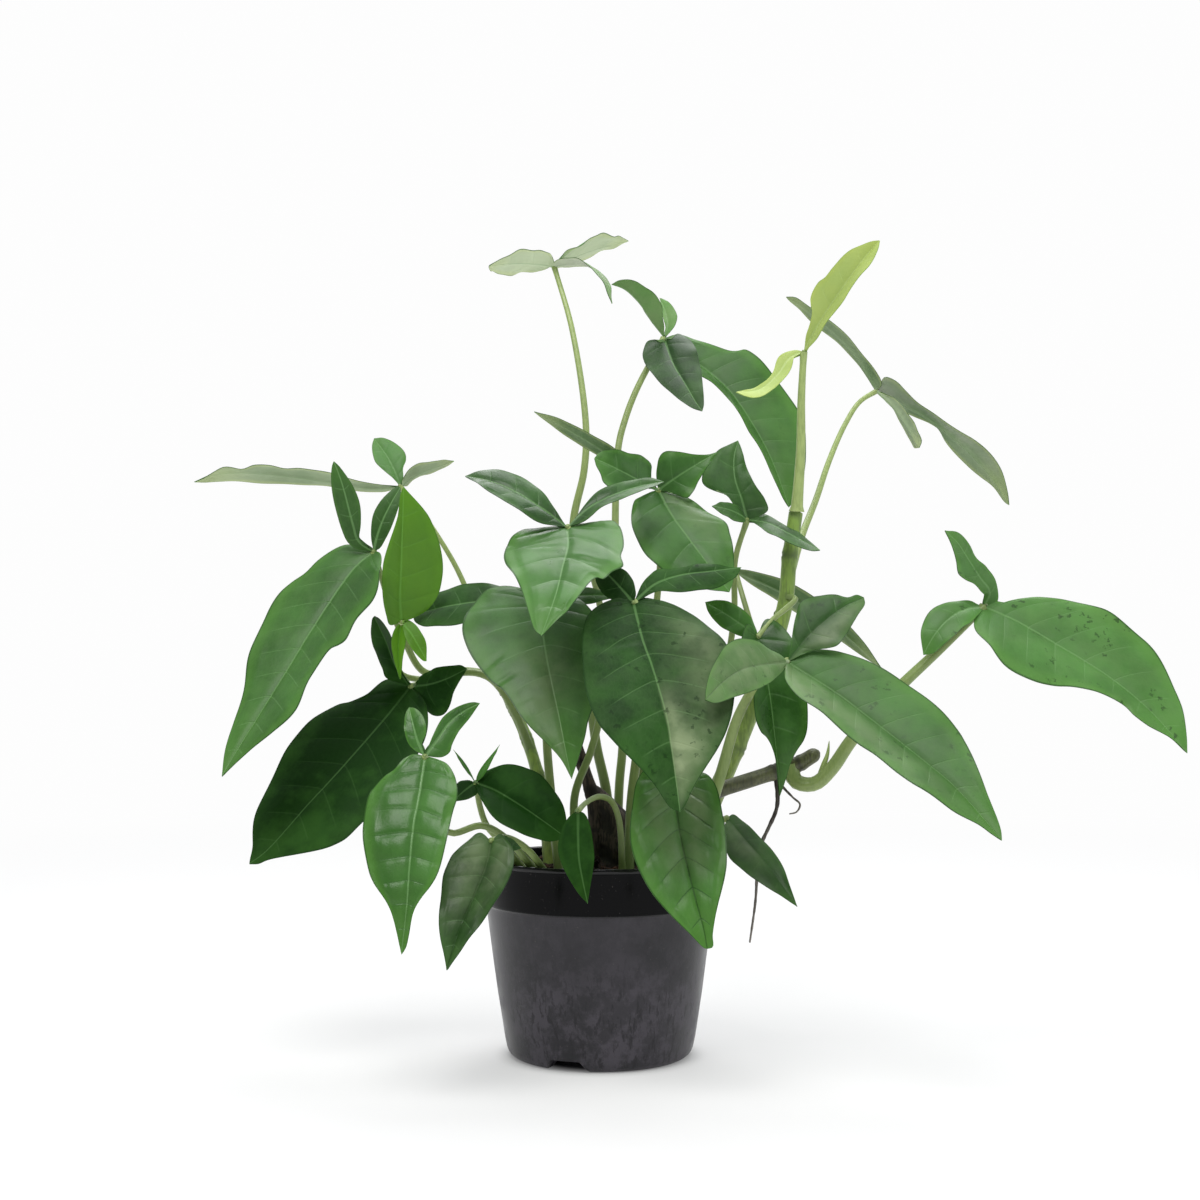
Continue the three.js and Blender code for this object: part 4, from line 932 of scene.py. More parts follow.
        dict(rib=[(-120.5, 57.9, 325.3), (-126.4, 62.1, 336.5), (-135, 68, 348)],
            face=(0.06, -0.92, 0.4), fold=10,
            right=[(3.7, 3), (10, 5.3), (14, 8.9), (18.2, 10.4), (28.7, 7.8), (33.8, 4.5)],
            left=[(19.7, 8.1), (26.2, 7), (32.5, 4)]),
        dict(rib=[(-110.6, 58.8, 324.2), (-99.7, 61.7, 329.3), (-87, 64, 334)], face=(-0.5, 0.41, 0.76),
            fold=22,
            right=[(6.1, 5.1), (11.3, 7.5), (16.1, 7.1), (23.5, 5.2), (31.2, 2.7)],
            left=[(6, 8.6), (9.6, 6), (15.1, 5.9), (21.4, 7.3), (27.6, 6.7), (33.2, 4.8)]),
        ]),
    "14": dict(stalk=[(-48, 18, 185), (-55, 12, 198), (-64, 16, 206), (-75, 20, 208), (-99, 22, 204),
        (-112, 18, 207), (-112, 4, 220), (-107, -24, 235)],
        thick=(2.4, 1.6), leaflets=[
        dict(rib=[(-107.3, -29.6, 246.6), (-106.1, -35.8, 262.3), (-105.2, -40.3, 278),
             (-104.4, -43.1, 293.7), (-104, -44, 306)], face=(0.09, -0.96, -0.27), fold=10,
            right=[(3.5, 10.3), (8.2, 16.1), (16.8, 20.6), (25.9, 22.3), (33.7, 22.5), (44.4, 20.5),
             (52.4, 17.5), (60.1, 13.5)],
            left=[(-1.2, 6.5), (5, 8.1), (25, 10), (35.2, 9.3), (59.4, 2.6), (71.6, 1.3)]),
        dict(rib=[(-102.3, -25.9, 229.6), (-97.8, -27.3, 222.5), (-93, -28, 214)],
            face=(0.2, -0.93, 0.31), fold=10,
            right=[(8.1, 3.7), (14.5, 4.2), (20.6, 3.2), (25.1, 1.4)],
            left=[(1.2, 3.4), (5.3, 4.9), (10.4, 5.1), (16.5, 4.7)]),
        dict(rib=[(-108.6, -22, 228), (-109, -21, 216), (-108, -20, 204)], face=(0.1, -0.98, 0.1),
            fold=42, pale=0.9,
            right=[(3, 3), (11, 5), (20, 3.4)],
            left=[(3, 3.2), (9, 5.2), (20, 3)]),
        ]),
    "15": dict(stalk=[(-39, 14, 165), (-47, 5, 185), (-60, 4, 204), (-74, 8, 208), (-89, 10, 204),
        (-106, 8, 200)],
        thick=(2.6, 1.8), leaflets=[
        dict(rib=[(-115.8, -2, 186.1), (-142.3, -24.4, 152.8), (-155.2, -33.2, 137.9),
             (-175.4, -45, 113.8), (-183, -48, 108)], face=(-0.19, -0.76, 0.62), fold=8,
            right=[(-1.9, 10.4), (1.4, 16.6), (14.7, 19.3), (19.4, 21.9), (23.9, 25.9), (28.2, 31.4),
             (40, 36.8), (47.3, 38.3), (64.7, 37.1), (74.7, 34.9), (92, 29), (108.4, 22.4),
             (116.5, 17.2), (129.7, 4.2)],
            left=[(5.5, 13.6), (15.1, 23.4), (26.3, 30.4), (40.4, 34.8), (54.8, 37.7), (68.1, 38.3),
             (82, 35), (94.9, 34), (100.3, 31.5), (104.7, 28.2), (124.9, 5.6), (129.6, 3.6)]),
        dict(rib=[(-113, -3.6, 212), (-116.3, -12.3, 222.8), (-119.8, -19.8, 232.4), (-122, -24, 238)],
            face=(-0.52, -0.53, -0.67), fold=20, pale=0.05,
            right=[(24.7, 6.7), (49.9, 8.5), (52.4, 4.5)],
            left=[(8.4, 11.9), (16, 10), (24.7, 9.9), (35.8, 8.7), (43.1, 6.2), (50.7, 2.1)]),
        dict(rib=[(-93.9, -0.6, 201.5), (-83.6, -5, 204.8), (-73, -6, 210)], face=(-0.42, -0.9, 0.11),
            fold=3,
            right=[(9.7, 12.6), (15.1, 17.9), (20.1, 18.3), (28, 7.7)],
            left=[(4.5, 1.2), (7.3, 4.9), (12.9, 7.1), (19.6, 8.2), (29, 6.6), (35.8, 3.9)]),
        ]),
    "16": dict(stalk=[(-34, -44, 104), (-49, -54, 122), (-61, -62, 129), (-76, -70, 126),
        (-85, -76, 136), (-88, -84, 154), (-87, -92, 166)],
        thick=(2.2, 1.6), leaflets=[
        dict(rib=[(-88.9, -105.4, 145.2), (-90.3, -110.5, 135.9), (-91.5, -120.4, 112.9),
             (-91.9, -124.4, 99.2), (-94, -128, 74)], face=(-0.15, -0.92, 0.37), fold=8, sweep=0.22,
            spacing=10,
            right=[(-1.1, 5.8), (1.2, 10.1), (6.9, 14.4), (10.9, 19), (16.7, 23.2), (22.9, 25.8),
             (38.6, 25.3), (45.8, 24.3), (60.7, 20.3), (66.3, 17.4), (81.1, 7.3)],
            left=[(1.8, 6.4), (4.8, 12), (9.5, 15.7), (16.7, 18.7), (22.9, 19.5), (27.9, 18.5),
             (43.3, 18.1), (63.2, 14.2), (68.8, 11), (73.8, 6.9), (79.4, 4), (96.8, 1.9)]),
        dict(rib=[(-90.6, -91.2, 172.9), (-92.9, -89.1, 179.8), (-96, -84, 190)],
            face=(-0.09, -0.95, 0.28), fold=10,
            right=[(5.6, 1.2), (10.9, 5.3), (16.6, 6.3), (22.1, 5.3), (25.8, 2.9)],
            left=[(7.6, 4.5), (13.2, 5.2), (20.1, 4.1), (25.2, 2)]),
        dict(rib=[(-81.3, -89.4, 173.9), (-75.3, -84.9, 182.7), (-67.7, -79.3, 188.6), (-61, -74, 192)],
            face=(0.31, -0.9, 0.31), fold=10, pale=-0.15,
            right=[(4.6, 7.2), (8.9, 8.9), (12.1, 7.7), (26.4, 5.9), (34, 3.8)],
            left=[(10.9, 3.1), (25.5, 4.2), (39.1, 1.8)]),
        ]),
    "17": dict(stalk=[(-27, -46, 101), (-37, -58, 116), (-47, -74, 124), (-54, -92, 124)],
        thick=(2.2, 1.6), leaflets=[
        dict(rib=[(-55.5, -99.2, 114.4), (-59.8, -107.3, 102.7), (-68.1, -118.1, 83.1),
             (-70.6, -121.5, 74.2), (-73, -124, 66)], face=(-0.2, -0.83, 0.52), fold=27, spacing=9,
            bleach_and_sheen=[(0.4, 0.35, 0.5, 0.34, 0.55), (-0.5, 0.3, 0.4, 0.3, 0.45)],
            right=[(-3.4, 6), (0.5, 11.1), (5.9, 15.5), (14.1, 18.4), (23.1, 18.7), (31, 17.7),
             (46.6, 12.1)],
            left=[(-3.2, 4.4), (2.6, 11.2), (8.2, 15.3), (15.1, 17.7), (22.3, 18.1), (29.9, 16.9),
             (52.7, 8.9)]),
        dict(rib=[(-50, -91.7, 123.2), (-46.2, -90.9, 122.3), (-42.5, -89.7, 121.2), (-39, -88, 120)],
            face=(0.32, -0.91, 0.28), fold=8,
            right=[(2.4, 3), (5.8, 4), (10.4, 3.3)]),
        ]),
    "18": dict(stalk=[(-39, -36, 102), (-52, -44, 119), (-59, -50, 128), (-62, -54, 137),
        (-64, -62, 151)],
        thick=(2.2, 1.6), leaflets=[
        dict(rib=[(-53.7, -66.8, 147.5), (-40.7, -71.8, 140.3), (-27.8, -75, 131.9), (-17, -76, 124)],
            face=(0.08, -0.82, 0.57), fold=26,
            right=[(3.8, 5.6), (12.7, 12.7), (21.9, 17.8), (30, 18.8), (38, 17.4), (44.7, 14),
             (51.2, 9.2)],
            left=[(0.4, 4.8), (8.2, 13.6), (18.9, 18.3), (25.9, 19.7), (32.7, 18.5), (45.8, 12.5),
             (52.2, 6.9)]),
        dict(rib=[(-66.9, -61.7, 155.5), (-69.9, -61, 159.8), (-72.9, -59.7, 164), (-76, -58, 168)],
            face=(0.08, -0.96, 0.28), fold=8, pale=0.35,
            right=[(10.7, 1)]),
        dict(rib=[(-60.9, -64.7, 155.8), (-57.7, -66.9, 160.8), (-54.4, -68.7, 165.8), (-51, -70, 171)],
            face=(-0.24, -0.94, -0.22), fold=8, pale=0.8,
            right=[(3.8, 1.3), (9.1, 1.7)]),
        dict(rib=[(-66.7, -64.6, 149.2), (-69.5, -66.8, 147.1), (-72.2, -68.6, 144.7), (-75, -70, 142)],
            face=(0.04, -0.77, 0.63), fold=8,
            right=[(2.5, 4.5), (5.9, 6), (10.5, 5)]),
        ]),
    "19": dict(stalk=[(12, -36, 98), (10, -38, 130), (6, -42, 140), (0, -50, 143), (-7, -66, 141),
        (-11, -82, 138)],
        thick=(2, 1.5), leaflets=[
        dict(rib=[(-10.9, -90.1, 126.8), (-10.3, -97.2, 115.2), (-8.3, -102.2, 105), (-6, -106, 95)],
            face=(-0.03, -0.87, 0.48), fold=10,
            right=[(1.8, 3.1), (6.5, 6.6), (13.7, 9.1), (21.8, 10.2), (29, 8.8), (43.8, 3.6)],
            left=[(1.3, 3), (6.7, 5.6), (22.8, 7.8), (29.8, 7.3)]),
        ]),
    "20": dict(stalk=[(26, -40, 99), (32, -48, 121), (35, -62, 139), (36, -86, 154)],
        thick=(2.6, 1.8), leaflets=[
        dict(rib=[(37.6, -94.8, 142), (39.6, -104.6, 126.7), (46.1, -118.1, 98.3), (49.6, -122.3, 84.7),
             (51, -124, 76)], face=(0.03, -0.9, 0.44), fold=14, sweep=0.9, spacing=8.5,
            bleach_and_sheen=[(-0.38, 0.42, 0.32, 0.14, 0.8), (0.38, 0.45, 0.32, 0.12, 0.7),
             (-0.3, 0.64, 0.3, 0.1, 0.5), (0.3, 0.66, 0.3, 0.08, 0.4), (0, 0.26, 0.45, 0.14, 0.7),
             (-0.2, 0.4, 0.2, 0.08, 0.5)],
            right=[(-7, 5.3), (-6.5, 13.2), (0, 18.2), (11.7, 21.8), (32.3, 26), (39.1, 26),
             (47.6, 24.4), (56.8, 21.5), (63.7, 18.2), (88.4, 1.5)],
            left=[(-4.2, 8.9), (-1.6, 16.3), (5.7, 20.9), (24.1, 22.7), (33.6, 22.8), (49.6, 19.7),
             (56.8, 16.9), (76.8, 6.3), (83.1, 3.8), (88.6, 2.9)]),
        ]),
    "21": dict(stalk=[(49, -6, 97), (57, -12, 118), (62, -18, 126), (68, -28, 130)],
        thick=(2.4, 1.6), leaflets=[
        dict(rib=[(76.5, -39.2, 119.5), (85.9, -49.4, 109.1), (93.8, -57.7, 98.2), (101, -64, 88)],
            face=(0.02, -0.75, 0.66), fold=8,
            bleach_and_sheen=[(0.2, 0.35, 0.5, 0.25, 0.35)],
            right=[(5.1, 5.3), (15.2, 11.2), (23.1, 14), (36.9, 12.2)],
            left=[(-1, 4.2), (5, 6.1), (24.7, 7.9), (43.8, 6)]),
        ]),
    "22": dict(stalk=[(102, 0, 250), (107, -10, 248), (103, -14, 244), (93, -20, 236), (85, -24, 227)],
        thick=(2, 1.4), leaflets=[
        dict(rib=[(87.9, -29.1, 211.8), (90.6, -32.9, 195.8), (93.9, -35.7, 164), (95, -35.2, 153.4),
             (95.6, -34, 142.2)], face=(0.42, -0.9, 0.14), fold=32,
            right=[(-6.6, 5.9), (1.4, 15.8), (13.3, 20.4), (23.5, 18.5), (31, 16.3), (38.6, 17.5),
             (46.3, 17.3), (52.6, 12.6), (55.8, 7.2), (62.2, 3.5)],
            left=[(-9.1, 7), (-6.2, 13.4), (2.3, 17.8), (14.1, 19.6), (40.6, 20.5), (52.4, 18.5),
             (58.5, 15.5), (63.5, 11.5), (69.6, 8)]),
        dict(rib=[(78.2, -24.4, 232.3), (71.2, -23.8, 237.2), (64.2, -22.4, 241.8), (57, -20, 246)],
            face=(0.12, -0.92, 0.37), fold=8, pale=0.3,
            right=[(2.4, 2.7), (8.6, 6.4), (17.2, 8), (22, 7.5), (26.5, 6.1), (30.3, 4)]),
        ]),
    "23": dict(stalk=[(93, 2, 209), (90, 24, 220), (88, 40, 233), (83, 54, 255), (80, 64, 269)],
        thick=(2.2, 1.6), leaflets=[
        dict(rib=[(103.8, 61.4, 258), (125.6, 57.2, 244.7), (145.3, 51.4, 229), (163, 44, 211)],
            face=(0.58, 0.46, 0.67), fold=8,
            right=[(2.1, 2.1), (7.3, 5), (15.7, 8), (26.1, 10.3), (37.6, 11.7), (52.2, 11.9),
             (66.8, 10.6), (80.4, 8.2), (91.9, 5.1)]),
        ]),
}

# How each leaf looks: shade from 0, dark, to 1, light; warmth from 0, bluish, to 1, yellow;
# dust, a grey film that is partly dust and partly painted sheen; how dull, how clearly veined and
# how spotted it is; and, in millimetres, how much it puffs up between veins and how much its
# margins wave. The more a leaf puffs up, the more painted shade lies in its vein grooves.
habit = {
    "01": (1.0, 0.3, 0.12, 0.5, 0.5, 0.0, 0.2, 1.2), "02": (0.46, 0.6, 0.10, 0.5, 0.4, 0.2, 0.12, 0.9),
    "03": (0.70, 0.6, 0.0, 0.5, 0.4, 0.0, 0.1, 0.6), "04": (0.38, 0.3, 0.5, 0.5, 0.4, 0.0, 0.12, 0.6),
    "05": (0.64, 0.5, 0.2, 0.5, 0.6, 1.0, 0.12, 0.9), "06": (0.52, 0.3, 0.26, 0.1, 0.6, 0.0, 0.44, 0.6),
    "07": (0.32, 0.4, 0.1, 0.3, 0.6, 0.2, 0.22, 0.9), "08": (0.05, 0.2, 0.12, 0.4, 0.8, 1.0, 0.16, 0.6),
    "09": (0.34, 0.4, 0.06, 0.3, 0.5, 0.3, 0.20, 1.0), "10": (0.22, 0.4, 0.2, 0.4, 0.5, 0.2, 0.15, 0.9),
    "11": (0.46, 0.5, 0.20, 0.5, 0.6, 0.7, 0.14, 0.7), "12": (0.38, 0.6, 0.1, 0.4, 0.9, 0.0, 0.24, 0.6),
    "13": (0.68, 0.3, 0.3, 0.5, 0.5, 0.0, 0.2, 0.6), "14": (0.40, 0.7, 0.0, 0.6, 0.6, 0.0, 0.12, 0.4),
    "15": (0.04, 0.5, 0.0, 0.6, 0.3, 0.0, 0.12, 0.6), "16": (0.50, 0.4, 0.1, 0.1, 1.0, 0.0, 0.62, 0.6),
    "17": (0.08, 0.9, 0.22, 0.4, 0.9, 0.0, 0.60, 0.9), "18": (0.0, 0.4, 0.0, 0.5, 0.12, 0.0, 0.12, 0.6),
    "19": (0.0, 0.6, 0.0, 1.0, 0.05, 0.0, 0.1, 0.3), "20": (0.62, 0.5, 0.1, 0.3, 1.0, 0.1, 0.95, 0.6),
    "21": (0.14, 0.8, 0.1, 0.4, 0.15, 0.2, 0.12, 0.6), "22": (0.22, 0.5, 0.0, 0.1, 0.5, 0.0, 0.22, 0.9),
    "23": (0.30, 0.5, 0.1, 0.4, 0.5, 0.0, 0.1, 0.4),
}
habit_marks = ("shade", "warmth", "dust", "dull", "veined", "spotted", "creased", "dark_rib")

# The vein pattern of a blade. Vein takes millimetres from the midrib and a count of side
# veins passed; Blade takes the place across and along the blade, from 0 to 1.
veining, given = node_group("leaf_veining", ("Vein", "Blade"),
                            ("Midrib", "Lateral", "Network", "Margin", "Rim"))
vein = wire(veining, "ShaderNodeSeparateXYZ", _0=given.outputs["Vein"])
blade = wire(veining, "ShaderNodeSeparateXYZ", _0=given.outputs["Blade"])
off_rib = sums(veining, "ABSOLUTE", vein.outputs["X"])
rib_half = ramp(veining, blade.outputs["Y"], 0.0, 1.0, 1.25, 0.35, smooth=False)
beside_rib = ramp(veining, sums(veining, "DIVIDE", off_rib, rib_half), 0.35, 1.0)
passed = sums(veining, "FRACT", vein.outputs["Y"])
to_vein = sums(veining, "ABSOLUTE", sums(veining, "SUBTRACT", passed, 0.5))
to_edge = sums(veining, "ABSOLUTE", sums(veining, "SUBTRACT", blade.outputs["X"], 0.5))
mesh_place = wire(veining, "ShaderNodeCombineXYZ", X=times(veining, vein.outputs["X"], 0.42),
                  Y=times(veining, vein.outputs["Y"], 4.6))
cells = wire(veining, "ShaderNodeTexVoronoi", {"feature": "DISTANCE_TO_EDGE"},
             Vector=mesh_place.outputs[0], Scale=1.0)
wire(veining, "NodeGroupOutput",
     Midrib=sums(veining, "SUBTRACT", 1.0, beside_rib),
     Lateral=times(veining, ramp(veining, to_vein, 0.462, 0.494),
                   ramp(veining, to_edge, 0.28, 0.42, 1.0, 0.0)),
     Network=ramp(veining, cells.outputs["Distance"], 0.0, 0.16, 1.0, 0.0),
     Margin=ramp(veining, to_edge, 0.480, 0.494),
     Rim=sums(veining, "MAXIMUM", ramp(veining, blade.outputs["Y"], 0.70, 0.98),
              ramp(veining, to_edge, 0.34, 0.47)))

# What weather and age leave on every blade: clouds of colour, a film of dust that also carries painted
# sheen, grain and specks.
ageing, given = node_group("leaf_ageing", ("Place",), ("Cloud", "Film", "Grain", "Specks"))
where = given.outputs["Place"]
frayed = wire(ageing, "ShaderNodeTexNoise", Vector=where, Scale=520.0, Detail=2.0).outputs["Color"]
frayed = wire(ageing, "ShaderNodeVectorMath", {"operation": "MULTIPLY_ADD"}, _0=frayed,
              _1=(0.006, 0.006, 0.006), _2=where)
dots = wire(ageing, "ShaderNodeTexVoronoi", Vector=frayed.outputs[0], Scale=170.0, Randomness=1.0)
wire(ageing, "NodeGroupOutput",
     Cloud=noise(ageing, where, 34.0, 4.0, 0.6),
     Film=noise(ageing, where, 90.0, 3.0, 0.55),
     Grain=noise(ageing, where, 420.0, 3.0),
     Specks=times(ageing, ramp(ageing, dots.outputs["Distance"], 0.14, 0.30, 1.0, 0.0),
                  ramp(ageing, noise(ageing, where, 62.0, 1.0), 0.48, 0.60)))


def darker(ink, *shares):
    """A colour with its red, green and blue each taken by a share."""
    return (*(part * share for part, share in zip(ink, shares)), 1)


def leaf_skin(name, deep, light, warm, vein_ink, rough, raised, wax):
    """A blade's skin on one face: greens mixed by the leaf's habit, with veins and specks.
    Veins are raised on an underside and sunk, below 0, on an upper face. Creased leaves get
    painted shade in their vein grooves and dark-ribbed ones in their midrib; the grey film and the
    pale patches are partly painted sheen."""
    skin, tree, shader = finish(name)
    under = raised > 0
    vein_map, blade_map = (wire(tree, "ShaderNodeUVMap", {"uv_map": layer}).outputs[0]
                           for layer in ("vein_map", "blade_map"))
    midrib, lateral, network, margin, rim = wire(
        tree, "ShaderNodeGroup", {"node_tree": veining}, Vein=vein_map, Blade=blade_map).outputs
    cloud, film, grain, specks = wire(
        tree, "ShaderNodeGroup", {"node_tree": ageing}, Place=on_object(tree)).outputs
    shade, warmth, dust, dull, veined, spotted, creased, dark_rib = (
        marked(tree, label) for label in habit_marks)
    tone = sums(tree, "POWER", shade, 1.9) if name == "leaf_green_underside" else shade
    green = blend(tree, plus(tree, tone, ramp(tree, cloud, 0.3, 0.7, -0.14, 0.14)), deep, light)
    yellow = times(tree, warmth, ramp(tree, film, 0.3, 0.7, 0.5, 0.9))
    green = blend(tree, yellow, green, warm, mode="MULTIPLY")
    rim_share = times(tree, rim, ramp(tree, shade, 0.0, 0.5, 0.06, 0.34))
    green = blend(tree, rim_share, green, darker(light, 1.05, 1, 0.55))
    # On creased leaves the side veins are painted dark: painted shade in the grooves between the cushions.
    # Other leaves' veins take the pale vein colour.
    vein_ink_and_groove_shade = blend(tree, creased, vein_ink, darker(deep, 2, 2, 2))
    vein_and_groove_share = plus(tree, times(tree, lateral, sums(tree, "MULTIPLY_ADD", creased, 0.34, 0.26)),
                  times(tree, network, 0.04))
    green = blend(tree, times(tree, vein_and_groove_share, veined), green, vein_ink_and_groove_shade)
    # A dark-ribbed blade's midrib is painted dark green: painted shade in the sunk midrib. Other midribs
    # take the pale vein colour.
    rib_colour_and_shade = blend(tree, dark_rib, vein_ink, darker(deep, 2, 1.6, 2))
    green = blend(tree, times(tree, midrib, sums(tree, "MULTIPLY_ADD", veined, 0.35, 0.25)), green, rib_colour_and_shade)
    # A grey film, partly dust and partly painted sheen, the greyish highlight that a waxy blade would
    # catch.
    dust_and_sheen_veil = times(tree, dust, ramp(tree, film, 0.34, 0.66, 0.12, 0.42))
    green = blend(tree, dust_and_sheen_veil, green, (0.20, 0.25, 0.17, 1))
    # Pale patches: partly sun bleaching and bruises, partly painted sheen where light would catch the
    # blade.
    bleach_and_sheen_mix = times(tree, marked(tree, "bleach_and_sheen_share"), ramp(tree, film, 0.36, 0.6, 0.48, 0.78))
    green = blend(tree, bleach_and_sheen_mix, green, (0.45, 0.48, 0.40, 1) if under else (0.235, 0.30, 0.16, 1))
    green = blend(tree, times(tree, margin, 0.65), green, deep)
    speckled = times(tree, times(tree, specks, spotted), 0.6)
    green = blend(tree, speckled, green, darker(deep, 0.5, 0.5, 0.5))
    tree.links.new(green, shader.inputs["Base Color"])
    sheen = ramp(tree, cloud, 0.25, 0.75, rough - 0.05, rough + 0.07)
    tree.links.new(sums(tree, "MULTIPLY_ADD", dull, 0.35, sheen), shader.inputs["Roughness"])
    height = plus(tree, times(tree, lateral, raised), times(tree, midrib, raised * 1.5))
    height = plus(tree, height, times(tree, network, raised * 0.15))
    height = plus(tree, times(tree, height, veined), times(tree, grain, 0.06 if under else 0.20))
    bumps = wire(tree, "ShaderNodeBump", Strength=0.25 if under else 0.45, Distance=0.0003, Height=height)
    tree.links.new(bumps.outputs[0], shader.inputs["Normal"])
    shader.inputs["Specular IOR Level"].default_value = wax
    return skin


upper_skins = {
    "mature": leaf_skin("leaf_green_upper", (0.007, 0.038, 0.004, 1), (0.092, 0.270, 0.056, 1),
                        (1.15, 1.0, 0.70, 1), (0.17, 0.34, 0.12, 1), 0.26, -0.8, 0.24),
    # The shaded skin is painted shade: the same upper skin, darker and less glossy, so that a leaf looks
    # shaded.
    "shaded": leaf_skin("shaded_leaf_upper", (0.006, 0.036, 0.003, 1), (0.080, 0.250, 0.045, 1),
                        (1.15, 1.0, 0.70, 1), (0.13, 0.28, 0.09, 1), 0.36, -0.8, 0.09),
    "fresh": leaf_skin("new_leaf_upper", (0.050, 0.160, 0.006, 1), (0.105, 0.300, 0.016, 1),
                       (1.15, 1.0, 0.70, 1), (0.14, 0.36, 0.05, 1), 0.30, -0.5, 0.30),
    "young": leaf_skin("young_leaf_upper", (0.24, 0.38, 0.080, 1), (0.40, 0.52, 0.16, 1),
                       (1.10, 1.0, 0.8, 1), (0.50, 0.62, 0.28, 1), 0.40, -0.4, 0.35),
}
under_skins = {
    "mature": leaf_skin("leaf_green_underside", (0.078, 0.170, 0.056, 1), (0.60, 0.71, 0.50, 1),
                        (1.1, 1.0, 0.80, 1), (0.30, 0.44, 0.22, 1), 0.52, 0.7, 0.24),
    "fresh": leaf_skin("new_leaf_underside", (0.12, 0.27, 0.04, 1), (0.22, 0.42, 0.09, 1),
                       (1.1, 1.0, 0.75, 1), (0.32, 0.48, 0.16, 1), 0.5, 0.6, 0.35),
    "young": leaf_skin("young_leaf_underside", (0.26, 0.40, 0.12, 1), (0.40, 0.53, 0.19, 1),
                       (1.1, 1.0, 0.8, 1), (0.50, 0.62, 0.30, 1), 0.5, 0.5, 0.35),
}
under_skins["shaded"] = under_skins["mature"]
stalk_skin = stem_ink("leaf_stalk_green", (0.16, 0.23, 0.065, 1), (0.36, 0.46, 0.16, 1),
                      (0.15, 0.23, 0.065, 1), 0.36, 0.30)

# What every blade has in common, in millimetres, counts and shares.
SPINE_STEPS = 160
ROW_BOW = 1.15  # above 1, the side veins bow towards the tip
DROOP = 0.12  # how far the margins hang below the fold's straight line
RIB_SINK, RIB_REACH = 0.30, 1.6
VEIN_SINK, VEIN_REACH = 0.10, 0.9
BUCKLE = 0.45
THICKNESS, THIN_SHARE, VEIN_SHARE = 1.5, 0.24, 0.2  # at the midrib; between veins; what a vein adds
THICKNESS_LEVELS = 160
MERGE = 0.004


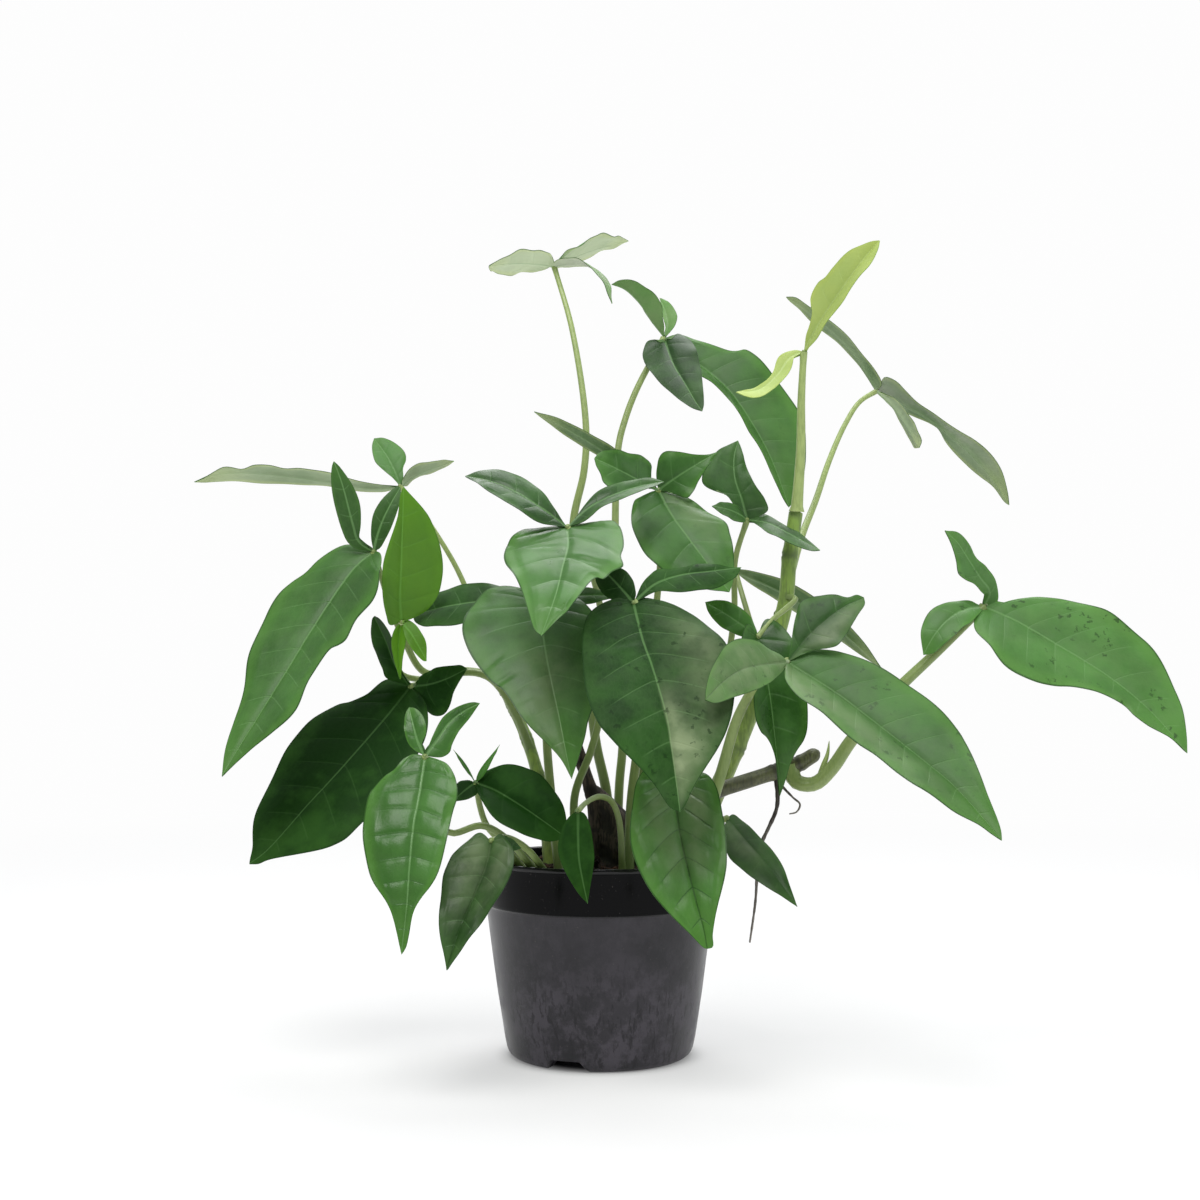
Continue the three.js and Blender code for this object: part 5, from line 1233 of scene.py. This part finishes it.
def leaflet_sheet(name, base, rib, face, fold, right, marks, puff, wave, seed, left=None,
                  pale=0.0, sweep=0.55, spacing=13.0, bleach_and_sheen=(), dents=(), dark_rib=0):
    """One leaflet as an open sheet: its midrib curves from the joint through the rib's points,
    the blade faces the given way and each margin runs from base to tip through places given
    as millimetres along the midrib and off it. Mesh rows follow the side veins."""
    draw = np.random.default_rng(seed)
    spine, length = along_route([base] + rib, SPINE_STEPS + 1)
    ahead = np.gradient(spine, axis=0)
    ahead /= np.linalg.norm(ahead, axis=1)[:, None]
    up = np.array(face, float) - ahead * (ahead @ np.array(face, float))[:, None]
    up /= np.linalg.norm(up, axis=1)[:, None]
    frames = np.hstack([spine, ahead, np.cross(ahead, up), up])
    left = left or right
    broad = max(w for a, w in right + left)
    across, along = (44, 96) if broad > 18 else (28, 64) if broad > 9 else (16, 44)
    sides = [along_route([(0, 0)] + knots + [(length, 0)], along + 1)[0].T
             for knots in (left, right)]
    sides = [(a, np.maximum(w, 0)) for a, w in sides]

    # Each mesh row leaves the midrib further back than it meets the margin.
    v_rows = np.linspace(0, 1, along + 1)
    start = sum(np.maximum.accumulate(a - sweep * w) for a, w in sides) / 2
    start = np.maximum(start, 0.10 * v_rows**2 * length)
    soft = np.convolve(np.pad(start, 4, mode="edge"), np.ones(9) / 9, mode="valid")
    start = start + (soft - start) * np.clip(8 * v_rows, 0, 1) * np.clip(8 * (1 - v_rows), 0, 1)
    start[0], start[-1] = 0, length
    sheet, flat = flat_grid(name, across, along)
    s, v = flat[:, 0], (flat[:, 1] + 1) / 2
    q, hand = np.abs(s), (s > 0).astype(int)
    row = np.rint(v * along).astype(int)
    edge_along = np.array([a for a, w in sides])[hand, row]
    out = np.array([w for a, w in sides])[hand, row] * q
    off_rib = np.sign(s) * out
    way = start[row] + (edge_along - start[row]) * q**ROW_BOW

    # The side veins lie on every whole count, with a gap in millimetres between them.
    pairs = max(4, round(length / spacing))
    count = pairs * v
    table = np.empty((along + 1, across + 1, 2))
    column = np.rint((s + 1) / 2 * across).astype(int)
    table[row, column] = np.stack([way, out], axis=1)
    gap = np.linalg.norm(np.gradient(table, axis=0), axis=2)[row, column] * along / pairs
    near = np.abs(count - np.rint(count)) * gap
    open_gap = np.clip((gap - 2) / 8, 0, 1)

    # The relief: fold, sunk veins, cushions between them, a ridge, wavy margins and buckles.
    size = min(1.0, broad / 24)
    fade = np.clip(8 * v, 0, 1) * np.clip(6 * (1 - v), 0, 1)
    height = out * math.sin(math.radians(fold)) - DROOP * out * q
    height -= (RIB_SINK + 0.5 * puff) * size * np.exp(-((out / RIB_REACH) ** 2)) * fade
    furrow = np.exp(-((near / VEIN_REACH) ** 2)) * np.clip(5 * (1 - q), 0, 1)
    height -= (VEIN_SINK + 0.30 * puff) * size * furrow * fade * open_gap
    swell = np.sin(math.pi * (count - np.floor(count))) ** 0.8 * np.clip(4 * q, 0, 1)
    cushion = draw.uniform(0.25, 1.5, (2, pairs + 1))[hand, np.floor(count).astype(int)]
    height += puff * cushion * size * swell * np.clip(4 * (0.84 - q), 0, 1) * fade * open_gap
    turn = draw.uniform(0, 6.28, 4)
    ridge = np.exp(-(((q - 0.76) / 0.055) ** 2)) * (0.6 + 0.4 * np.sin(way / 3.6 + turn[0] + 2 * s))
    height += 0.6 * puff * size * ridge * fade
    ripple = np.where(s > 0, np.sin(17 * v + turn[0]) + 0.5 * np.sin(31 * v + turn[1]),
                      np.sin(15 * v + turn[2]) + 0.5 * np.sin(29 * v + turn[3]))
    height += wave * size * q**3 * ripple * fade
    slow = draw.uniform(0, 6.28, 3)
    buckle = np.sin(way / 11 + slow[0]) * np.sin(off_rib / 9 + slow[1])
    buckle += 1.3 * puff * np.sin(way / 4.3 + slow[1] + out / 3) * np.sin(out / 3.7 + slow[2])
    height += BUCKLE * size * (buckle + 0.5 * np.sin(way / 23 + slow[2])) * q * fade
    for far, off, heading, reach, deep in dents:  # creases pressed in by hand or by a neighbour
        c, n = math.cos(math.radians(heading)), math.sin(math.radians(heading))
        run = (way - far) * c + (off_rib - off) * n
        over = (off_rib - off) * c - (way - far) * n
        lip = 0.6 * np.exp(-(((over + 2.6) / 1.6) ** 2))
        height += deep * np.exp(-((run / reach) ** 2)) * (lip - np.exp(-((over / 1.3) ** 2)))
    inside = np.clip(way, 0, length)
    spine_run = np.linspace(0, length, SPINE_STEPS + 1)
    at = np.stack([np.interp(inside, spine_run, part) for part in frames.T], axis=1)
    place = (at[:, :3] + at[:, 3:6] * (way - inside)[:, None] + at[:, 9:] * height[:, None]
             + at[:, 6:9] * (off_rib * math.cos(math.radians(fold)))[:, None]) * MM
    sheet.data.vertices.foreach_set("co", place.ravel())
    sheet.data.update()

    # What the finish reads: two maps, the leaf's habit and the pale patches, partly bleached by the sun and
    # partly painted sheen.
    corner = np.empty(len(sheet.data.loops), int)
    sheet.data.loops.foreach_get("vertex_index", corner)
    sheet.data.uv_layers[0].name = "blade_map"
    sheet.data.uv_layers.new(name="vein_map")
    for label, pair in (("blade_map", ((s + 1) / 2, v)), ("vein_map", (off_rib, count))):
        sheet.data.uv_layers[label].data.foreach_set("uv", np.stack(pair, axis=1)[corner].ravel())
    own_marks = dict(marks, shade=marks["shade"] + pale, dark_rib=max(marks["dark_rib"], dark_rib))
    for label, value in own_marks.items():
        paint(sheet, label, value)
    bleach_and_sheen_share = np.zeros(len(s))
    for side, far, wide, tall, much in bleach_and_sheen:
        patch = np.exp(-(((s - side) / wide) ** 2) - ((v - far) / tall) ** 2)
        bleach_and_sheen_share += much * patch * (s * side >= 0)
    paint(sheet, "bleach_and_sheen_share", bleach_and_sheen_share)
    stout = THIN_SHARE + (1 - THIN_SHARE) * np.exp(-((out / RIB_REACH) ** 2)) * (1 - 0.8 * v)
    stout = np.maximum(stout, THIN_SHARE + VEIN_SHARE * np.exp(-((near / 1.2) ** 2)) * (1 - q) ** 0.5)
    stout = np.rint(stout * THICKNESS_LEVELS) / THICKNESS_LEVELS
    stout_rib = sheet.vertex_groups.new(name="rib")
    for level in np.unique(stout):
        stout_rib.add(np.nonzero(stout == level)[0].tolist(), float(level), "REPLACE")
    bpy.ops.object.mode_set(mode="EDIT")
    bpy.ops.mesh.select_all(action="SELECT")
    bpy.ops.mesh.remove_doubles(threshold=MERGE * MM)
    bpy.ops.object.mode_set(mode="OBJECT")
    return sheet


KNOB = 1.2  # the radius of the joint where leaflets meet
SOIL_LEVEL = 96  # stalks that start below this height come up through the soil
# Leaves 08, 15, 18 and 19 wear the shaded skin, which paints shade on them.
own_tones = {"14": "fresh", "03": "young", "15": "shaded", "18": "shaded", "19": "shaded",
             "08": "shaded"}
stalk_tints = {"01": (0, 0.88), "03": (1, 1), "04": (0.6, 1), "05": (0.5, 0.1)}
dark_ribbed = ("17", "20", "21")
for number, leaf in leaves.items():
    tone = own_tones.get(number, "mature")
    skins = (upper_skins[tone], under_skins[tone], stalk_skin)
    *looks, puff, wave = habit[number]
    creased = min(1, max(0, 2.5 * puff - 0.8))
    marks = dict(zip(habit_marks, looks + [creased, number in dark_ribbed]), climb=1.0, joint=0.0)
    low, high = leaf["thick"]
    flare, flare_reach = (0.12, 14) if leaf["stalk"][0][2] < SOIL_LEVEL else (0.15, 7)

    def girth(share, run):
        length = run / share if share else 1.0
        size = 0.9 * (low + (high - low) * share)
        size *= 1 + flare * math.exp(-run / flare_reach)
        return size * (1 + 0.22 * math.exp(-(((length - run) / 5.0) ** 2)))

    span = sum(math.dist(a, b) for a, b in zip(leaf["stalk"], leaf["stalk"][1:]))
    stalk = hose(f"stalk_{number}", leaf["stalk"], girth, 18, max(16, round(span / 3)), dent=0.16)
    dark_end, light_end = stalk_tints.get(number, (0.0, 0.75))
    paint(stalk, "joint", 0.0)
    paint(stalk, "climb", dark_end + (light_end - dark_end) * painted(stalk, "climb"))
    stalk.data.materials.append(stalk_skin)
    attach(stalk, "root")
    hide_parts(f"petiole_{number}")

    base = leaf["stalk"][-1]
    sheets = []
    for order, shape in enumerate(leaf["leaflets"]):
        sheet = leaflet_sheet(f"leaflet_{number}_{order}", base, **shape, marks=marks, puff=puff,
                              wave=wave, seed=int(number) * 10 + order)
        for skin in skins:
            sheet.data.materials.append(skin)
        work_on(sheet)
        body = sheet.modifiers.new("thickness", "SOLIDIFY")
        body.thickness = THICKNESS * MM
        body.offset = -1
        body.vertex_group = "rib"
        body.material_offset = 1
        bpy.ops.object.modifier_apply(modifier=body.name)
        sheets.append(sheet)
    bpy.ops.object.select_all(action="DESELECT")
    bpy.ops.mesh.primitive_uv_sphere_add(
        segments=20, ring_count=12, radius=KNOB * MM, location=[c * MM for c in base])
    knob = bpy.context.object
    bpy.ops.object.transform_apply(location=True, rotation=True, scale=True)
    for skin in skins:
        knob.data.materials.append(skin)
    for face in knob.data.polygons:
        face.material_index = skins.index(stalk_skin)
    for label, value in dict(marks, climb=0.3).items():
        paint(knob, label, value)
    work_on(sheets[0], *sheets[1:], knob)
    bpy.ops.object.join()
    foliage = bpy.context.object
    foliage.name = f"foliage_{number}"
    bpy.ops.object.shade_smooth_by_angle(angle=math.radians(60))
    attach(foliage, "root")
    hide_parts(f"leaf_{number}")

# A pale pointed bract stands where the stalk of leaf 05 bends up from the old stem.
BRACT = 1.9
bract = hose("stalk_05_bract",
             [(119, -22.5, 153), (120.5, -22.5, 158), (122.6, -22, 164), (123.7, -21, 171)],
             lambda share, run: BRACT * (1 - share) ** 0.8 + 0.12, 12, 16)
paint(bract, "climb", 0.9)
paint(bract, "joint", 0.0)
bract.data.materials.append(stalk_skin)
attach(bract, "root")
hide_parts("petiole_05")
